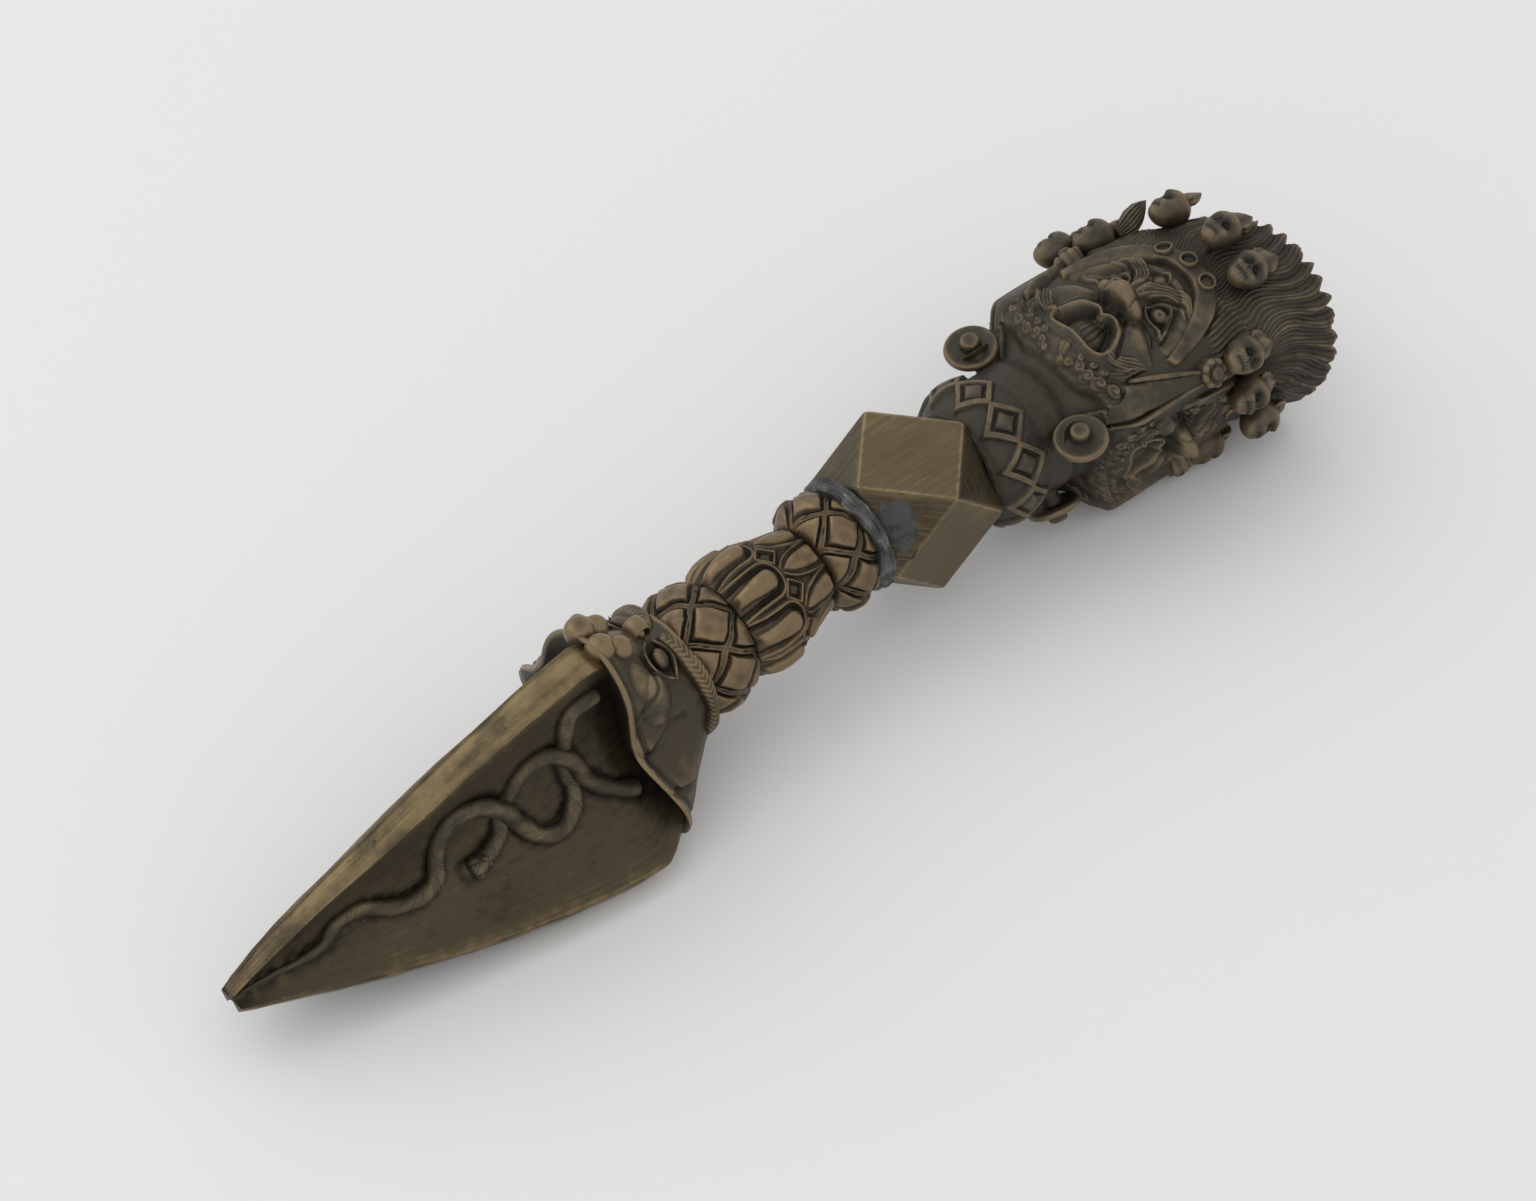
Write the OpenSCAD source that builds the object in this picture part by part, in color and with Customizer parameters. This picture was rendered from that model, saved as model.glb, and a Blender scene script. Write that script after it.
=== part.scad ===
// Three-bladed ritual dagger in brass, lying on its side with one fin and one face up.
// The lower casting (blade, sea-monster mask, knots and lotus grip) stands a few degrees out of
// line with the head casting, because the two were soldered together again at the facet block.
// Both castings are drawn about their own axis, +Z towards the crown and z = 0 at the solder
// joint, +X towards the upper fin. Angles round the axis are counted from there towards +Y.

/* [Blade] */
// Radius of each fin at its shoulder
fin_reach = 26; // [23:0.5:29]
// Length from the shoulders to the blunt tip
blade_run = 74; // [60:1:90]
// Length from the root, inside the mask, to the shoulders
root_run = 13; // [11:0.5:15]
// Radius of the fins at the root
root_reach = 16; // [14:0.5:17]
// Radius of the blunt tip
tip_reach = 2.4; // [2:0.1:3.5]
// Width of a fin's outer edge at the shoulder
edge_width = 6; // [4.8:0.1:6.6]
// Lean of the upper fin towards the right face, in degrees
upper_fin_lean = 7; // [0:0.5:10]
// Lean of the left fin towards the under face, in degrees
left_fin_lean = 11; // [0:0.5:14]
// Radius of the blade's body in the troughs between the fins, at the shoulders
web_radius = 8.6; // [7.6:0.1:9.4]

/* [Snakes] */
// Width of a snake's body
snake_width = 3.2; // [2.6:0.1:3.8]
// Height of a snake's back above the blade
snake_rise = 1.7; // [1.2:0.1:2.2]

/* [Sea-monster mask] */
// Length of the mask from the lower knot to its mouth
mask_length = 19.5; // [17:0.5:22]
// Depth of the blade's root above the mask's mouth
root_depth = 10; // [8:0.5:12]
// Radius of the mask where it meets the lower knot
mask_back_radius = 11.6; // [10.5:0.1:12.5]
// Radius of the mask's mouth in the troughs
mouth_radius = 14; // [13:0.1:15]
// How far the mask's lips stand over the fins, at its mouth
lip_cover = 2.2; // [1.8:0.1:3]
// Thickness of the mask's lips
lip_thickness = 2; // [1.6:0.1:2.6]
// Radius of the mask's eyeballs
mask_eye_radius = 2.3; // [1.8:0.1:2.8]
// Radius of the nostril lobes
nostril_radius = 2.4; // [2:0.1:2.8]
// Width of the brow bands
brow_width = 4; // [3:0.1:5]
// Width of the beard locks at their root
beard_width = 5; // [4:0.1:6]

/* [Grip] */
// Length of the lower knot
lower_knot_length = 12; // [10:0.5:14]
// Radius of the lower knot
lower_knot_radius = 11.8; // [11:0.1:12.6]
// Length of the lotus grip
lotus_length = 19.5; // [17:0.5:23]
// Radius of the lotus grip at its widest
lotus_radius = 11; // [10:0.1:11.8]
// Radius of the lotus grip at its upper end
lotus_top_radius = 7.3; // [6.6:0.1:8]
// Length of the upper knot
upper_knot_length = 10.2; // [9:0.2:12]
// Radius of the upper knot
upper_knot_radius = 11.1; // [10.4:0.1:12]
// Radius of both ends of a knot
knot_end_radius = 7.6; // [7:0.1:8.4]
// Width of the grooves that divide a knot into pads
groove_width = 0.9; // [0.6:0.1:1.3]
// Depth of those grooves
groove_depth = 0.9; // [0.6:0.1:1.3]
// Petals in each row of the lotus grip
petal_count = 8; // [6:1:9]
// Width of a petal's raised pad
petal_width = 5.6; // [4.8:0.1:6.2]
// Turn of the petals about the grip, in degrees
petal_turn = 18; // [0:1:44]
// Height of a petal above the grip
petal_rise = 1.2; // [0.8:0.1:1.6]
// Height of a diamond above the grip
diamond_rise = 0.6; // [0.3:0.1:1]
// Diameter of the blade's tang
tang_diameter = 6; // [5:0.5:7]
// Length of tang inside the facet block
tang_depth = 9; // [6:0.5:11]
// Clearance around the tang and the head's tenon
fit_gap = 0.1; // [0.05:0.05:0.2]

/* [Facet block] */
// Width of the block across its square faces
block_width = 25; // [22:0.5:28]
// Thickness of the solder bed between the upper knot and the block
solder_bed = 0.9; // [0.8:0.1:1.5]
// Radius of the solder fillet on the block
solder_radius = 11.6; // [10:0.1:12.2]
// Length of the solder fillet down the knot
solder_drop = 2.2; // [1.8:0.1:4]

/* [Head] */
// Length of the collar ring
collar_length = 11; // [9:0.5:13]
// Radius of the collar ring
collar_radius = 13.4; // [12.6:0.1:14.4]
// Height of the net that is raised on the collar
net_rise = 0.8; // [0.5:0.1:1.2]
// Lozenges in the collar's net
net_count = 10; // [8:1:11]
// Radius of the head's core
core_radius = 9.4; // [8.6:0.1:10]
// Diameter of the core's tenon in the facet block
tenon_diameter = 10; // [8:0.5:12]
// Length of that tenon
tenon_length = 8; // [6:0.5:9]
// Length of the three faces, from the collar to the hair
face_length = 46; // [42:0.5:50]
// Radius of the neck below the chins
neck_radius = 12.4; // [11.8:0.1:13]
// Radius of the faces at the cheeks, without their features
cheek_radius = 16.4; // [15.6:0.1:17.2]
// How far the head stands out further at the ears
ear_rise = 4; // [3:0.1:5]
// Height of a mouth's middle above the collar
mouth_height = 19; // [17:0.5:21]
// Height of a nose's tip above the face
nose_rise = 5.4; // [4.6:0.1:6.2]
// Radius of an eyeball
eye_radius = 1.9; // [1.5:0.1:2.3]
// Width of the front face's sector, in degrees
front_sector = 120; // [116:1:124]
// Width of each side face's sector, in degrees
side_sector = 83; // [80:1:86]

/* [Ears and earrings] */
// Diameter of an earring's disc
disc_diameter = 10; // [8.6:0.2:11]
// Thickness of the disc
disc_thickness = 1.3; // [1:0.1:1.8]
// Diameter of the boss in the middle of the disc
boss_diameter = 3.8; // [3:0.1:4.6]
// Height of the boss above the disc
boss_height = 2; // [1.4:0.1:2.6]
// Height of the earrings' middles above the collar
disc_height = 4.5; // [4.2:0.1:6.2]
// Radius from the axis to the outer face of a rear disc
disc_reach = 16.6; // [16.2:0.1:17.6]
// Distance from the axis to the front discs, which look the way the front face does
front_disc_reach = 17.2; // [16.8:0.1:17.8]
// Angle of the front discs' middles from the middle of the front face
front_disc_angle = 57; // [54:0.5:60]
// How far each front disc turns out to its side, in degrees
disc_splay = 2; // [0:1:6]
// Lean of the front discs towards the blade, in degrees
disc_lean = 12; // [0:1:20]
// Width of a long ear lobe at its lower end
lobe_width = 4.6; // [3.8:0.1:5.4]
// Thickness of a lobe
lobe_thickness = 1.5; // [1.1:0.1:2]

/* [Crown] */
// Width of the band on each forehead
band_width = 4.4; // [3.6:0.1:5]
// Thickness of the band
band_thickness = 1.2; // [0.8:0.1:1.6]
// Height of the band's arch above its ends
band_arch = 10.9; // [9:0.1:12]
// Diameter of the cups on the bands
cup_diameter = 3.6; // [3:0.1:4]
// Diameter of the rosettes over the ears
rosette_diameter = 5.6; // [4.6:0.1:6.2]
// Radius of a skull's cranium
skull_radius = 3.5; // [3:0.1:4]
// Radius from the axis to the middles of the skulls
skull_reach = 20; // [19.4:0.1:20.6]
// Height of the lowest skulls' middles above the rosettes
skull_lift = 4.4; // [4:0.1:5.4]
// Length of the flame-shaped hair above the faces
hair_length = 22; // [18:0.5:26]
// Flame-shaped tips round the hair
hair_tips = 36; // [30:1:40]
// Height of a tip above the notches beside it
tip_height = 1.9; // [1.2:0.1:2.6]
// Radius of the hair at its tips
hair_reach = 18.6; // [17.5:0.1:20]
// Lean of the hair's tips towards the right face
hair_lean = 3.6; // [0:0.1:4]

/* [Lie on the table] */
// Angle at which the blade's axis rises towards the head
blade_pitch = 3.7; // [3:0.1:4.4]
// Angle at which the head's axis falls towards the crown
head_fall = 0.3; // [0:0.1:1]
// Swing of the head out of line with the blade, seen from above
head_swing = 3; // [0:0.1:5]
// Turn of the fins about the blade's axis
blade_roll = 5.3; // [0:0.1:8]
// Turn of the facet block about the head's axis
block_roll = 7.2; // [0:0.1:12]
// Turn of the faces about the head's axis
head_roll = 2.5; // [-4:0.1:6]

/* [Hidden] */
$fn = 48;
brass_dark = [0.27, 0.24, 0.17];
brass_worn = [0.45, 0.39, 0.26];
brass_block = [0.52, 0.45, 0.29];
solder_grey = [0.42, 0.42, 0.40];
big = 60;
seat = 0.3;
skin = 0.02;

// Distances down the lower axis from the solder joint
t_lotus = solder_bed + upper_knot_length;
t_lower_knot = t_lotus + lotus_length;
t_mask = t_lower_knot + lower_knot_length;
t_mouth = t_mask + mask_length;
t_root = t_mouth - root_depth;
t_shoulder = t_root + root_run;
t_tip = t_shoulder + blade_run;
tang_radius = tang_diameter / 2;

// Heights up the head's axis from the solder joint
z_collar = block_width;
z_face = z_collar + collar_length;
z_mouth = z_face + mouth_height;
z_hair = z_face + face_length;
z_disc = z_face + disc_height;
z_ear_top = z_hair - 0.3 * face_length;
z_band = z_hair - 3.8;
ear_angle = front_sector / 2;
rear_ear_angle = ear_angle + side_sector;
side_middle = ear_angle + side_sector / 2;

// Top of the hair, and the height of the solder joint over the table when both lower fins and
// the hair touch it
crown_top = z_hair + 0.58 * hair_length + 0.89 * hair_lean + tip_height / 2;
rest_height = fin_reach * cos(60 - blade_roll) + edge_width / 2 * sin(60 - blade_roll)
    + t_shoulder * sin(blade_pitch) - 0.09;
middle_x = (crown_top - t_tip) / 2 + 0.18;
middle_y = -2.096;

// Both castings on the table. The origin is below the middle of the whole.
module on_table() {
    translate([-middle_x, -middle_y, rest_height]) children();
}

module lower() {
    on_table() rotate([0, -blade_pitch, 0]) rotate([0, 90, 0])
        rotate([0, 0, 180 + blade_roll]) children();
}

module upper(roll = 0) {
    on_table() rotate([0, 0, -head_swing]) rotate([0, head_fall, 0]) rotate([0, 90, 0])
        rotate([0, 0, 180 + roll]) children();
}

// Skin over rings of equal count, closed by a flat cap at each end
module loft(rings) {
    n = len(rings[0]);
    m = len(rings);
    sides = [for (i = [0:m - 2]) for (j = [0:n - 1])
        let (a = i * n + j, b = i * n + (j + 1) % n) each [[a, b + n, b], [a, a + n, b + n]]];
    ends = [[for (j = [0:n - 1]) j], [for (j = [n - 1:-1:0]) (m - 1) * n + j]];
    polyhedron([for (r = rings) each r], concat(sides, ends), convexity = 8);
}

// Skin over rings that close on themselves both ways
module ring_loft(rings) {
    n = len(rings[0]);
    m = len(rings);
    faces = [for (i = [0:m - 1]) for (j = [0:n - 1])
        let (a = i * n + j, b = i * n + (j + 1) % n, up = ((i + 1) % m - i) * n)
        each [[a, b + up, b], [a, a + up, b + up]]];
    polyhedron([for (r = rings) each r], faces, convexity = 8);
}

function unit(v) = v / norm(v);
function polar(r, angle, z) = [r * cos(angle), r * sin(angle), z];
function smooth(x) = let (c = min(1, max(0, x))) c * c * (3 - 2 * c);
function bell(x, y, cx, cy, sx, sy) = exp(-pow((x - cx) / sx, 2) - pow((y - cy) / sy, 2));
function pair(x, y, cx, cy, sx, sy) = bell(x, y, cx, cy, sx, sy) + bell(x, y, -cx, cy, sx, sy);

// Point of a smooth curve through the points of path, u counting from its first point
function curve_point(path, u) =
    let (k = min(len(path) - 2, floor(u)), f = u - k, a = path[max(0, k - 1)], b = path[k],
        c = path[k + 1], d = path[min(len(path) - 1, k + 2)])
    b + 0.5 * f * (c - a + f * (2 * a - 5 * b + 4 * c - d + f * (3 * (b - c) + d - a)));

function curve(path, steps) =
    [for (i = [0:(len(path) - 1) * steps]) curve_point(path, i / steps)];

// Blade: three fins with flat outer edges and hollow faces between them
function fin_radius(t) = t > t_shoulder
    ? tip_reach + (fin_reach - tip_reach) * (1 - pow((t - t_shoulder) / blade_run, 1.45))
    : fin_reach - (fin_reach - root_reach) * pow((t_shoulder - t) / root_run, 1.3);

// The fins aren't quite evenly spaced: their lean fades out towards the tip
function fin_lean(k, t) =
    [upper_fin_lean, 0, -left_fin_lean][k % 3] * min(1, max(0, (t_tip - t) / (0.4 * blade_run)));
function spread(k, angle, t) =
    120 * k + fin_lean(k, t) + angle * (1 + (fin_lean(k + 1, t) - fin_lean(k, t)) / 120);

// Point across one hollow: w runs from -1 at a fin's corner to 1 at the next fin's corner
function hollow_point(reach, half_edge, web, w) =
    let (s = 1 - abs(w), side = [cos(30), -sin(30)],
        p0 = [reach, half_edge], p2 = web * [cos(60), sin(60)], p1 = p2 + 0.36 * reach * side,
        p = (1 - s) * (1 - s) * p0 + 2 * s * (1 - s) * p1 + s * s * p2)
    w < 0 ? p : [p.x * cos(120) + p.y * sin(120), p.x * sin(120) - p.y * cos(120)];

function blade_half_edge(t) =
    edge_width / 2 * min(1, 0.35 + 0.65 * fin_radius(t) / fin_reach);
function blade_point(k, t, w) =
    let (r = fin_radius(t), p = hollow_point(r, blade_half_edge(t), web_radius * r / fin_reach, w))
    polar(norm(p), spread(k, atan2(p.y, p.x), t), -t);

// Across the section: the middle of a fin's edge, then steps over the hollow beside it
hollow_steps = 12;
function blade_ring(t, grow = 0) =
    let (reach = fin_radius(t) + grow, half = blade_half_edge(t) + grow,
        web = web_radius * fin_radius(t) / fin_reach + grow)
    [for (k = [0:2]) each [
        polar(reach + 0.1 * half, spread(k, 0, t), -t),
        for (i = [0:hollow_steps])
            let (p = hollow_point(reach, half, web, 2 * i / hollow_steps - 1))
            polar(norm(p), spread(k, atan2(p.y, p.x), t), -t)
    ]];

module blade() {
    stations = [
        for (i = [0:13]) t_tip - blade_run * i / 14,
        for (i = [0:5]) t_shoulder - root_run * i / 5
    ];
    color(brass_worn) lower() loft([for (t = stations) blade_ring(t)]);
}

module tang() {
    color(brass_dark) lower() translate([0, 0, -t_root])
        cylinder(r = tang_radius, h = t_root + tang_depth);
}

// Snakes: distance past the shoulder, place across the hollow from -1 to 1, and lift where one
// body crosses the other
long_snake_path = [
    [72.6, -0.24, 0], [62.4, 0.06, 0], [56.9, 0, 0], [53.8, -0.28, 0], [49.3, -0.23, 0],
    [44, 0.12, 0], [39.1, 0.21, 0], [35.3, 0.08, 0], [33.7, -0.28, 0], [30.7, -0.57, 0],
    [25.4, -0.52, 0.5], [21.2, -0.29, 1.5], [18.5, 0.08, 0.3], [16.3, 0.3, 0], [12.6, 0.37, 0],
    [8.7, 0.25, 0], [6.9, 0.05, -0.5], [7.2, -0.21, -0.6], [6, -0.56, 0], [4.5, -0.74, 0],
    [-0.5, -0.73, 0]
];
short_snake_path = [
    [-3, 0.46, 0], [1.3, 0.29, 0], [4.7, 0.07, 0.8], [6.3, -0.25, 1.5], [9.9, -0.45, 0.4],
    [14.7, -0.48, 0], [18.2, -0.31, -0.5], [20.6, -0.19, -0.6], [22.4, 0.06, -0.2],
    [26.8, 0.22, 0], [29.8, 0.25, 0]
];

function snake_frame(k, s) =
    let (t = t_shoulder + s[0], d = blade_point(k, t, s[1] + 0.02) - blade_point(k, t, s[1] - 0.02))
    [blade_point(k, t, s[1]), unit([d.y, -d.x, 0]), s[2]];

// A rounded body with a flat belly that is let a little into the blade
module snake(k, path, widths, steps) {
    line = curve(path, steps);
    last = len(line) - 1;
    frames = [for (s = line) snake_frame(k, s)];
    rings = [for (i = [0:last])
        let (f = frames[i], ahead = frames[min(last, i + 1)][0] - frames[max(0, i - 1)][0],
            t = unit(ahead), n = unit(f[1] - (f[1] * t) * t), b = cross(t, n),
            share = lookup(i / last, widths))
        [for (a = [-1, -0.55, 0.55, 1, 0.72, 0, -0.72])
            f[0] + b * (a * share * snake_width / 2)
            + n * (f[2] + (abs(a) == 1 || abs(a) == 0.55 ? (abs(a) == 1 ? 0.3 : -seat)
                : snake_rise * share * sqrt(1 - 0.8 * a * a)))]];
    color(brass_dark) lower() loft(rings);
}

long_body = [[0, 0.25], [0.12, 0.75], [0.3, 1], [1, 1]];
short_body = [[0, 1], [0.88, 1], [0.95, 1.25], [1, 0.6]];
module long_snake_right() { snake(0, long_snake_path, long_body, 3); }
module long_snake_under() { snake(1, long_snake_path, long_body, 3); }
module long_snake_left() { snake(2, long_snake_path, long_body, 3); }
module short_snake_right() { snake(0, short_snake_path, short_body, 3); }
module short_snake_under() { snake(1, short_snake_path, short_body, 3); }
module short_snake_left() { snake(2, short_snake_path, short_body, 3); }

// Mask of the sea monster that bites the blade: round at the back, three-lobed at its mouth
function lobe(angle) = pow((1 + cos(3 * angle)) / 2, 1.2);
function mouth_drop(angle) = 4 * lobe(angle) * (1 - smooth(cos(angle) * 2 - 0.6));
function mask_radius(u, angle) =
    mask_back_radius + (mouth_radius - mask_back_radius) * u
    + (fin_radius(t_mouth - mouth_drop(angle)) + lip_cover - mouth_radius) * pow(u, 1.3) * lobe(angle)
    + 1.8 * bell(u, cos(3 * angle), 0.6, 0.1, 0.24, 0.5);

// The blade's section, a clearance larger, with a skin of the same count of points round it
module mask_shell() {
    bore = tang_radius + fit_gap;
    pocket = blade_ring(t_root + 3.4, fit_gap);
    n = len(pocket);
    turn = [for (p = pocket) atan2(p.y, p.x)];
    outer = function (u, shrink) [for (j = [0:n - 1])
        let (k = floor(j * 3 / n), i = (j - k * n / 3) * 360 / n,
            t = t_mask + u * (mask_length - mouth_drop(120 * k + i)))
        polar(mask_radius(u, 120 * k + i) - shrink, turn[j] * u + (120 * k + i
            - (turn[j] < 0 && k > 0 ? 360 : 0)) * (1 - u), -t)];
    color(brass_dark) lower() ring_loft([
        for (i = [8:-1:0]) outer(i / 8, 0),
        [for (a = turn) polar(bore, a, -t_mask)],
        [for (a = turn) polar(bore, a, fit_gap - t_root)],
        [for (p = blade_ring(t_root, fit_gap)) [p.x, p.y, fit_gap - t_root]],
        pocket,
        outer(1, lip_thickness)
    ]);
}

// Twin nostril lobes that grip the upper fin's shoulder, with the curled lip over it
module mask_nostrils() {
    color(brass_worn) lower() {
        for (s = [-1, 1]) {
            translate([fin_radius(t_mouth - 2) + 1.2, s * (edge_width / 2 - 0.4), 2 - t_mouth])
                sphere(r = nostril_radius);
            translate([fin_radius(t_mouth - 6) + 1.2, s * (edge_width / 2 + 0.4), 6 - t_mouth])
                sphere(r = nostril_radius * 0.9);
        }
    }
}

// Ringlet on the mask's forehead
module mask_scroll() {
    color(brass_dark) lower()
        translate([mask_radius(0.4, 0) + 1.4, 0, -t_mask - 0.38 * mask_length])
        rotate([90, 0, 0]) {
            rotate_extrude() translate([1.9, 0]) circle(r = 1.3);
            cylinder(r = 1.2, h = 2.4, center = true);
        }
}

mask_eye_angle = 22;
module mask_eyes() {
    color(brass_worn) lower() for (s = [-1, 1]) rotate([0, 0, s * mask_eye_angle])
        translate([mask_radius(0.56, mask_eye_angle) - 0.6, 0, -t_mask - 0.56 * mask_length])
        sphere(r = mask_eye_radius);
}

// Brow band round the back of the mask, ending in a pointed leaf
module mask_brow(side) {
    line = [for (i = [0:12]) let (a = 4 + 8.4 * i, u = 0.32 - 0.012 * i)
        [a, u, lookup(i, [[0, 0.7], [2, 1], [9, 0.9], [11, 1], [12, 0.15]])]];
    color(brass_dark) lower() loft([for (s = line)
        let (r = mask_radius(s[1], s[0]), half = brow_width * s[2] / 2, z = -t_mask - s[1] * mask_length)
        [for (q = side > 0 ? [0, 1, 2, 3, 4, 5] : [5, 4, 3, 2, 1, 0])
            polar(r + [-seat, -seat, 1, 1.9, 1.9, 1][q], side * s[0],
                z + half * [-1, 1, 1, 0.5, -0.5, -1][q])]]);
}

module mask_brow_right() { mask_brow(1); }
module mask_brow_left() { mask_brow(-1); }

// Locks of beard along the two lower fins, behind the flaps of the mouth
module mask_beard() {
    color(brass_dark) lower() for (s = [-1, 1]) rotate([0, 0, s * 124]) {
        rows = [for (i = [0:6]) let (u = 0.12 + 0.07 * i)
            [mask_radius(u, 120), -t_mask - u * mask_length,
                beard_width / 2 * lookup(i, [[0, 0.6], [2, 1], [5, 0.8], [6, 0.2]])]];
        loft([for (r = rows) [
            [r[0] - seat, -r[2], r[1]], [r[0] + 1.6, -r[2] * 0.7, r[1]], [r[0] + 2.2, 0, r[1]],
            [r[0] + 1.6, r[2] * 0.7, r[1]], [r[0] - seat, r[2], r[1]]
        ]]);
    }
}

// Half outline of a barrel of given middle radius, end radius and length, standing on z = 0
module barrel_outline(middle, end, length) {
    drop = middle - end;
    arc = (drop * drop + length * length / 4) / (2 * drop);
    union() {
        square([end, length]);
        intersection() {
            translate([end / 2, 0]) square([middle, length]);
            translate([middle - arc, length / 2]) circle(r = arc, $fn = 96);
        }
    }
}

// Barrel with raised lozenge pads: a full row round its middle and halves at both ends
module knot(middle, end, length, count) {
    pitch = 2 * 3.14159 * middle / count;
    side = min(pitch, length) / sqrt(2) - groove_width;
    rotate_extrude() barrel_outline(middle - groove_depth, end - 0.4, length);
    intersection() {
        rotate_extrude() barrel_outline(middle, end, length);
        for (i = [0:count - 1]) {
            rotate([0, 0, 360 * i / count]) translate([middle, 0, length / 2])
                rotate([45, 0, 0]) cube([5, side, side], center = true);
            for (z = [0, length]) rotate([0, 0, 360 * (i + 0.5) / count])
                translate([middle, 0, z]) rotate([45, 0, 0])
                cube([8, side, side], center = true);
        }
    }
}

module tang_bore() {
    lower() translate([0, 0, -t_root - 1])
        cylinder(r = tang_radius + fit_gap, h = t_root + tang_depth + 1 + fit_gap);
}

module lower_knot() {
    color(brass_worn) difference() {
        lower() translate([0, 0, -t_mask])
            knot(lower_knot_radius, knot_end_radius + 1.6, lower_knot_length, 7);
        tang_bore();
    }
}

module upper_knot() {
    color(brass_worn) difference() {
        lower() translate([0, 0, -t_lotus])
            knot(upper_knot_radius, knot_end_radius, upper_knot_length, 7);
        tang_bore();
    }
}

// Radius of the lotus grip at height z over its lower end: a flared cup below and a cone above
function lotus_at(z) = lookup(z / lotus_length, [
    [0, lotus_radius - 1.6], [0.18, lotus_radius - 0.2], [0.3, lotus_radius],
    [0.5, lotus_radius - 0.4], [0.72, lotus_top_radius + 1.6], [1, lotus_top_radius]
]);

module lotus_outline() {
    polygon([
        [0, 0], for (u = [0, 0.18, 0.3, 0.5, 0.72, 1]) [lotus_at(u * lotus_length), u * lotus_length],
        [0, lotus_length]
    ]);
}

module lotus_grip() {
    color(brass_dark) difference() {
        lower() translate([0, 0, -t_lower_knot]) rotate_extrude() lotus_outline();
        tang_bore();
    }
}

// Row of rounded pads from height z1 to z2, square below and pointed above
module petals(z1, z2, width, turn, shape) {
    color(brass_worn) lower() translate([0, 0, -t_lower_knot]) for (i = [0:petal_count - 1])
        rotate([0, 0, 360 * (i + turn) / petal_count + petal_turn]) loft([for (p = shape)
            let (z = z1 + (z2 - z1) * p[0], r = lotus_at(z), half = width / 2 * p[1] * 57.3 / r,
                rise = petal_rise * p[2])
            [polar(r - seat, -half, z), polar(r + 0.7 * rise, -0.75 * half, z),
                polar(r + rise, 0, z), polar(r + 0.7 * rise, 0.75 * half, z),
                polar(r - seat, half, z)]]);
}

module lotus_long_petals() {
    petals(0.03 * lotus_length, 0.53 * lotus_length, petal_width, 0,
        [[0, 0.65, 0.3], [0.12, 0.8, 0.9], [0.45, 0.95, 1], [0.75, 1, 1], [0.9, 0.7, 0.8],
            [1, 0.1, 0.2]]);
}

module lotus_short_petals() {
    petals(0.58 * lotus_length, 0.97 * lotus_length, petal_width * 0.8, 0,
        [[0, 0.08, 0.1], [0.2, 0.5, 0.7], [0.5, 0.9, 0.9], [0.85, 1, 0.9], [1, 0.9, 0.3]]);
}

module lotus_diamonds() {
    side = petal_width * 0.6;
    z = 0.56 * lotus_length;
    color(brass_dark) lower() translate([0, 0, -t_lower_knot]) difference() {
        for (i = [0:petal_count - 1]) rotate([0, 0, 360 * (i + 0.5) / petal_count + petal_turn])
            translate([lotus_at(z) + diamond_rise - 1.6, 0, z]) rotate([45, 0, 0])
            cube([3.2, side, side], center = true);
        rotate_extrude() lotus_outline();
    }
}

// Grey solder in the joint: a bed under the block and a hollow fillet round the knot
module solder_fillet() {
    color(solder_grey) difference() {
        lower() translate([0, 0, -solder_bed - solder_drop]) rotate_extrude()
            polygon([
                [0, 0], [upper_knot_radius - 0.6, 0], [upper_knot_radius + 0.2, solder_drop * 0.5],
                [solder_radius, solder_drop * 0.9], [solder_radius, solder_drop + solder_bed + 2],
                [0, solder_drop + solder_bed + 2]
            ]);
        upper() translate([-big, -big, 0]) cube([2 * big, 2 * big, big]);
        lower() translate([0, 0, -t_lotus])
            rotate_extrude() barrel_outline(upper_knot_radius, knot_end_radius, upper_knot_length);
        tang_bore();
    }
}

// Cube with its corners cut at the middles of its edges
module facet_block() {
    half = block_width / 2;
    corner_angle = atan(sqrt(2));
    color(brass_block) difference() {
        upper(block_roll) translate([0, 0, half]) intersection() {
            cube(block_width, center = true);
            for (k = [0]) intersection() {
                for_slab(45, corner_angle, half);
                for_slab(135, corner_angle, half);
                for_slab(225, corner_angle, half);
                for_slab(315, corner_angle, half);
            }
        }
        tang_bore();
        upper() translate([0, 0, block_width - tenon_length - fit_gap])
            cylinder(d = tenon_diameter + 2 * fit_gap, h = tenon_length + 1);
    }
}

module for_slab(turn, lean, half) {
    rotate([0, lean, turn]) cube([4 * half, 4 * half, 4 * half / sqrt(3)], center = true);
}

// Half outline of the collar: round below, and above level with the neck
collar_profile = [[0, -3], [0.12, -1.7], [0.3, -0.5], [0.44, 0], [0.6, 0], [0.8, -0.35], [1, -1.1]];
module collar_outline(grow) {
    polygon([
        [0, 0], for (p = collar_profile) [collar_radius + p[1] + grow, p[0] * collar_length],
        [0, collar_length]
    ]);
}

module collar_bore() {
    translate([0, 0, -1]) cylinder(r = core_radius + fit_gap, h = collar_length + 2);
}

module collar_ring() {
    color(brass_dark) upper(head_roll) translate([0, 0, z_collar]) difference() {
        rotate_extrude() collar_outline(0);
        collar_bore();
    }
}

// Lozenge frames, each with a raised pad, round the collar
module collar_net() {
    pitch = 2 * 3.14159 * collar_radius / net_count;
    side = pitch / sqrt(2);
    bar = 0.24 * side;
    color(brass_worn) upper(head_roll) translate([0, 0, z_collar]) intersection() {
        difference() {
            rotate_extrude() collar_outline(net_rise);
            rotate_extrude() collar_outline(0);
        }
        for (i = [0:net_count - 1]) rotate([0, 0, 360 * i / net_count])
            translate([collar_radius, 0, collar_length / 2]) rotate([45, 0, 0]) difference() {
                cube([8, side, side], center = true);
                difference() {
                    cube([10, side - 2 * bar, side - 2 * bar], center = true);
                    cube([12, side - 3.4 * bar, side - 3.4 * bar], center = true);
                }
            }
    }
}

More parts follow.
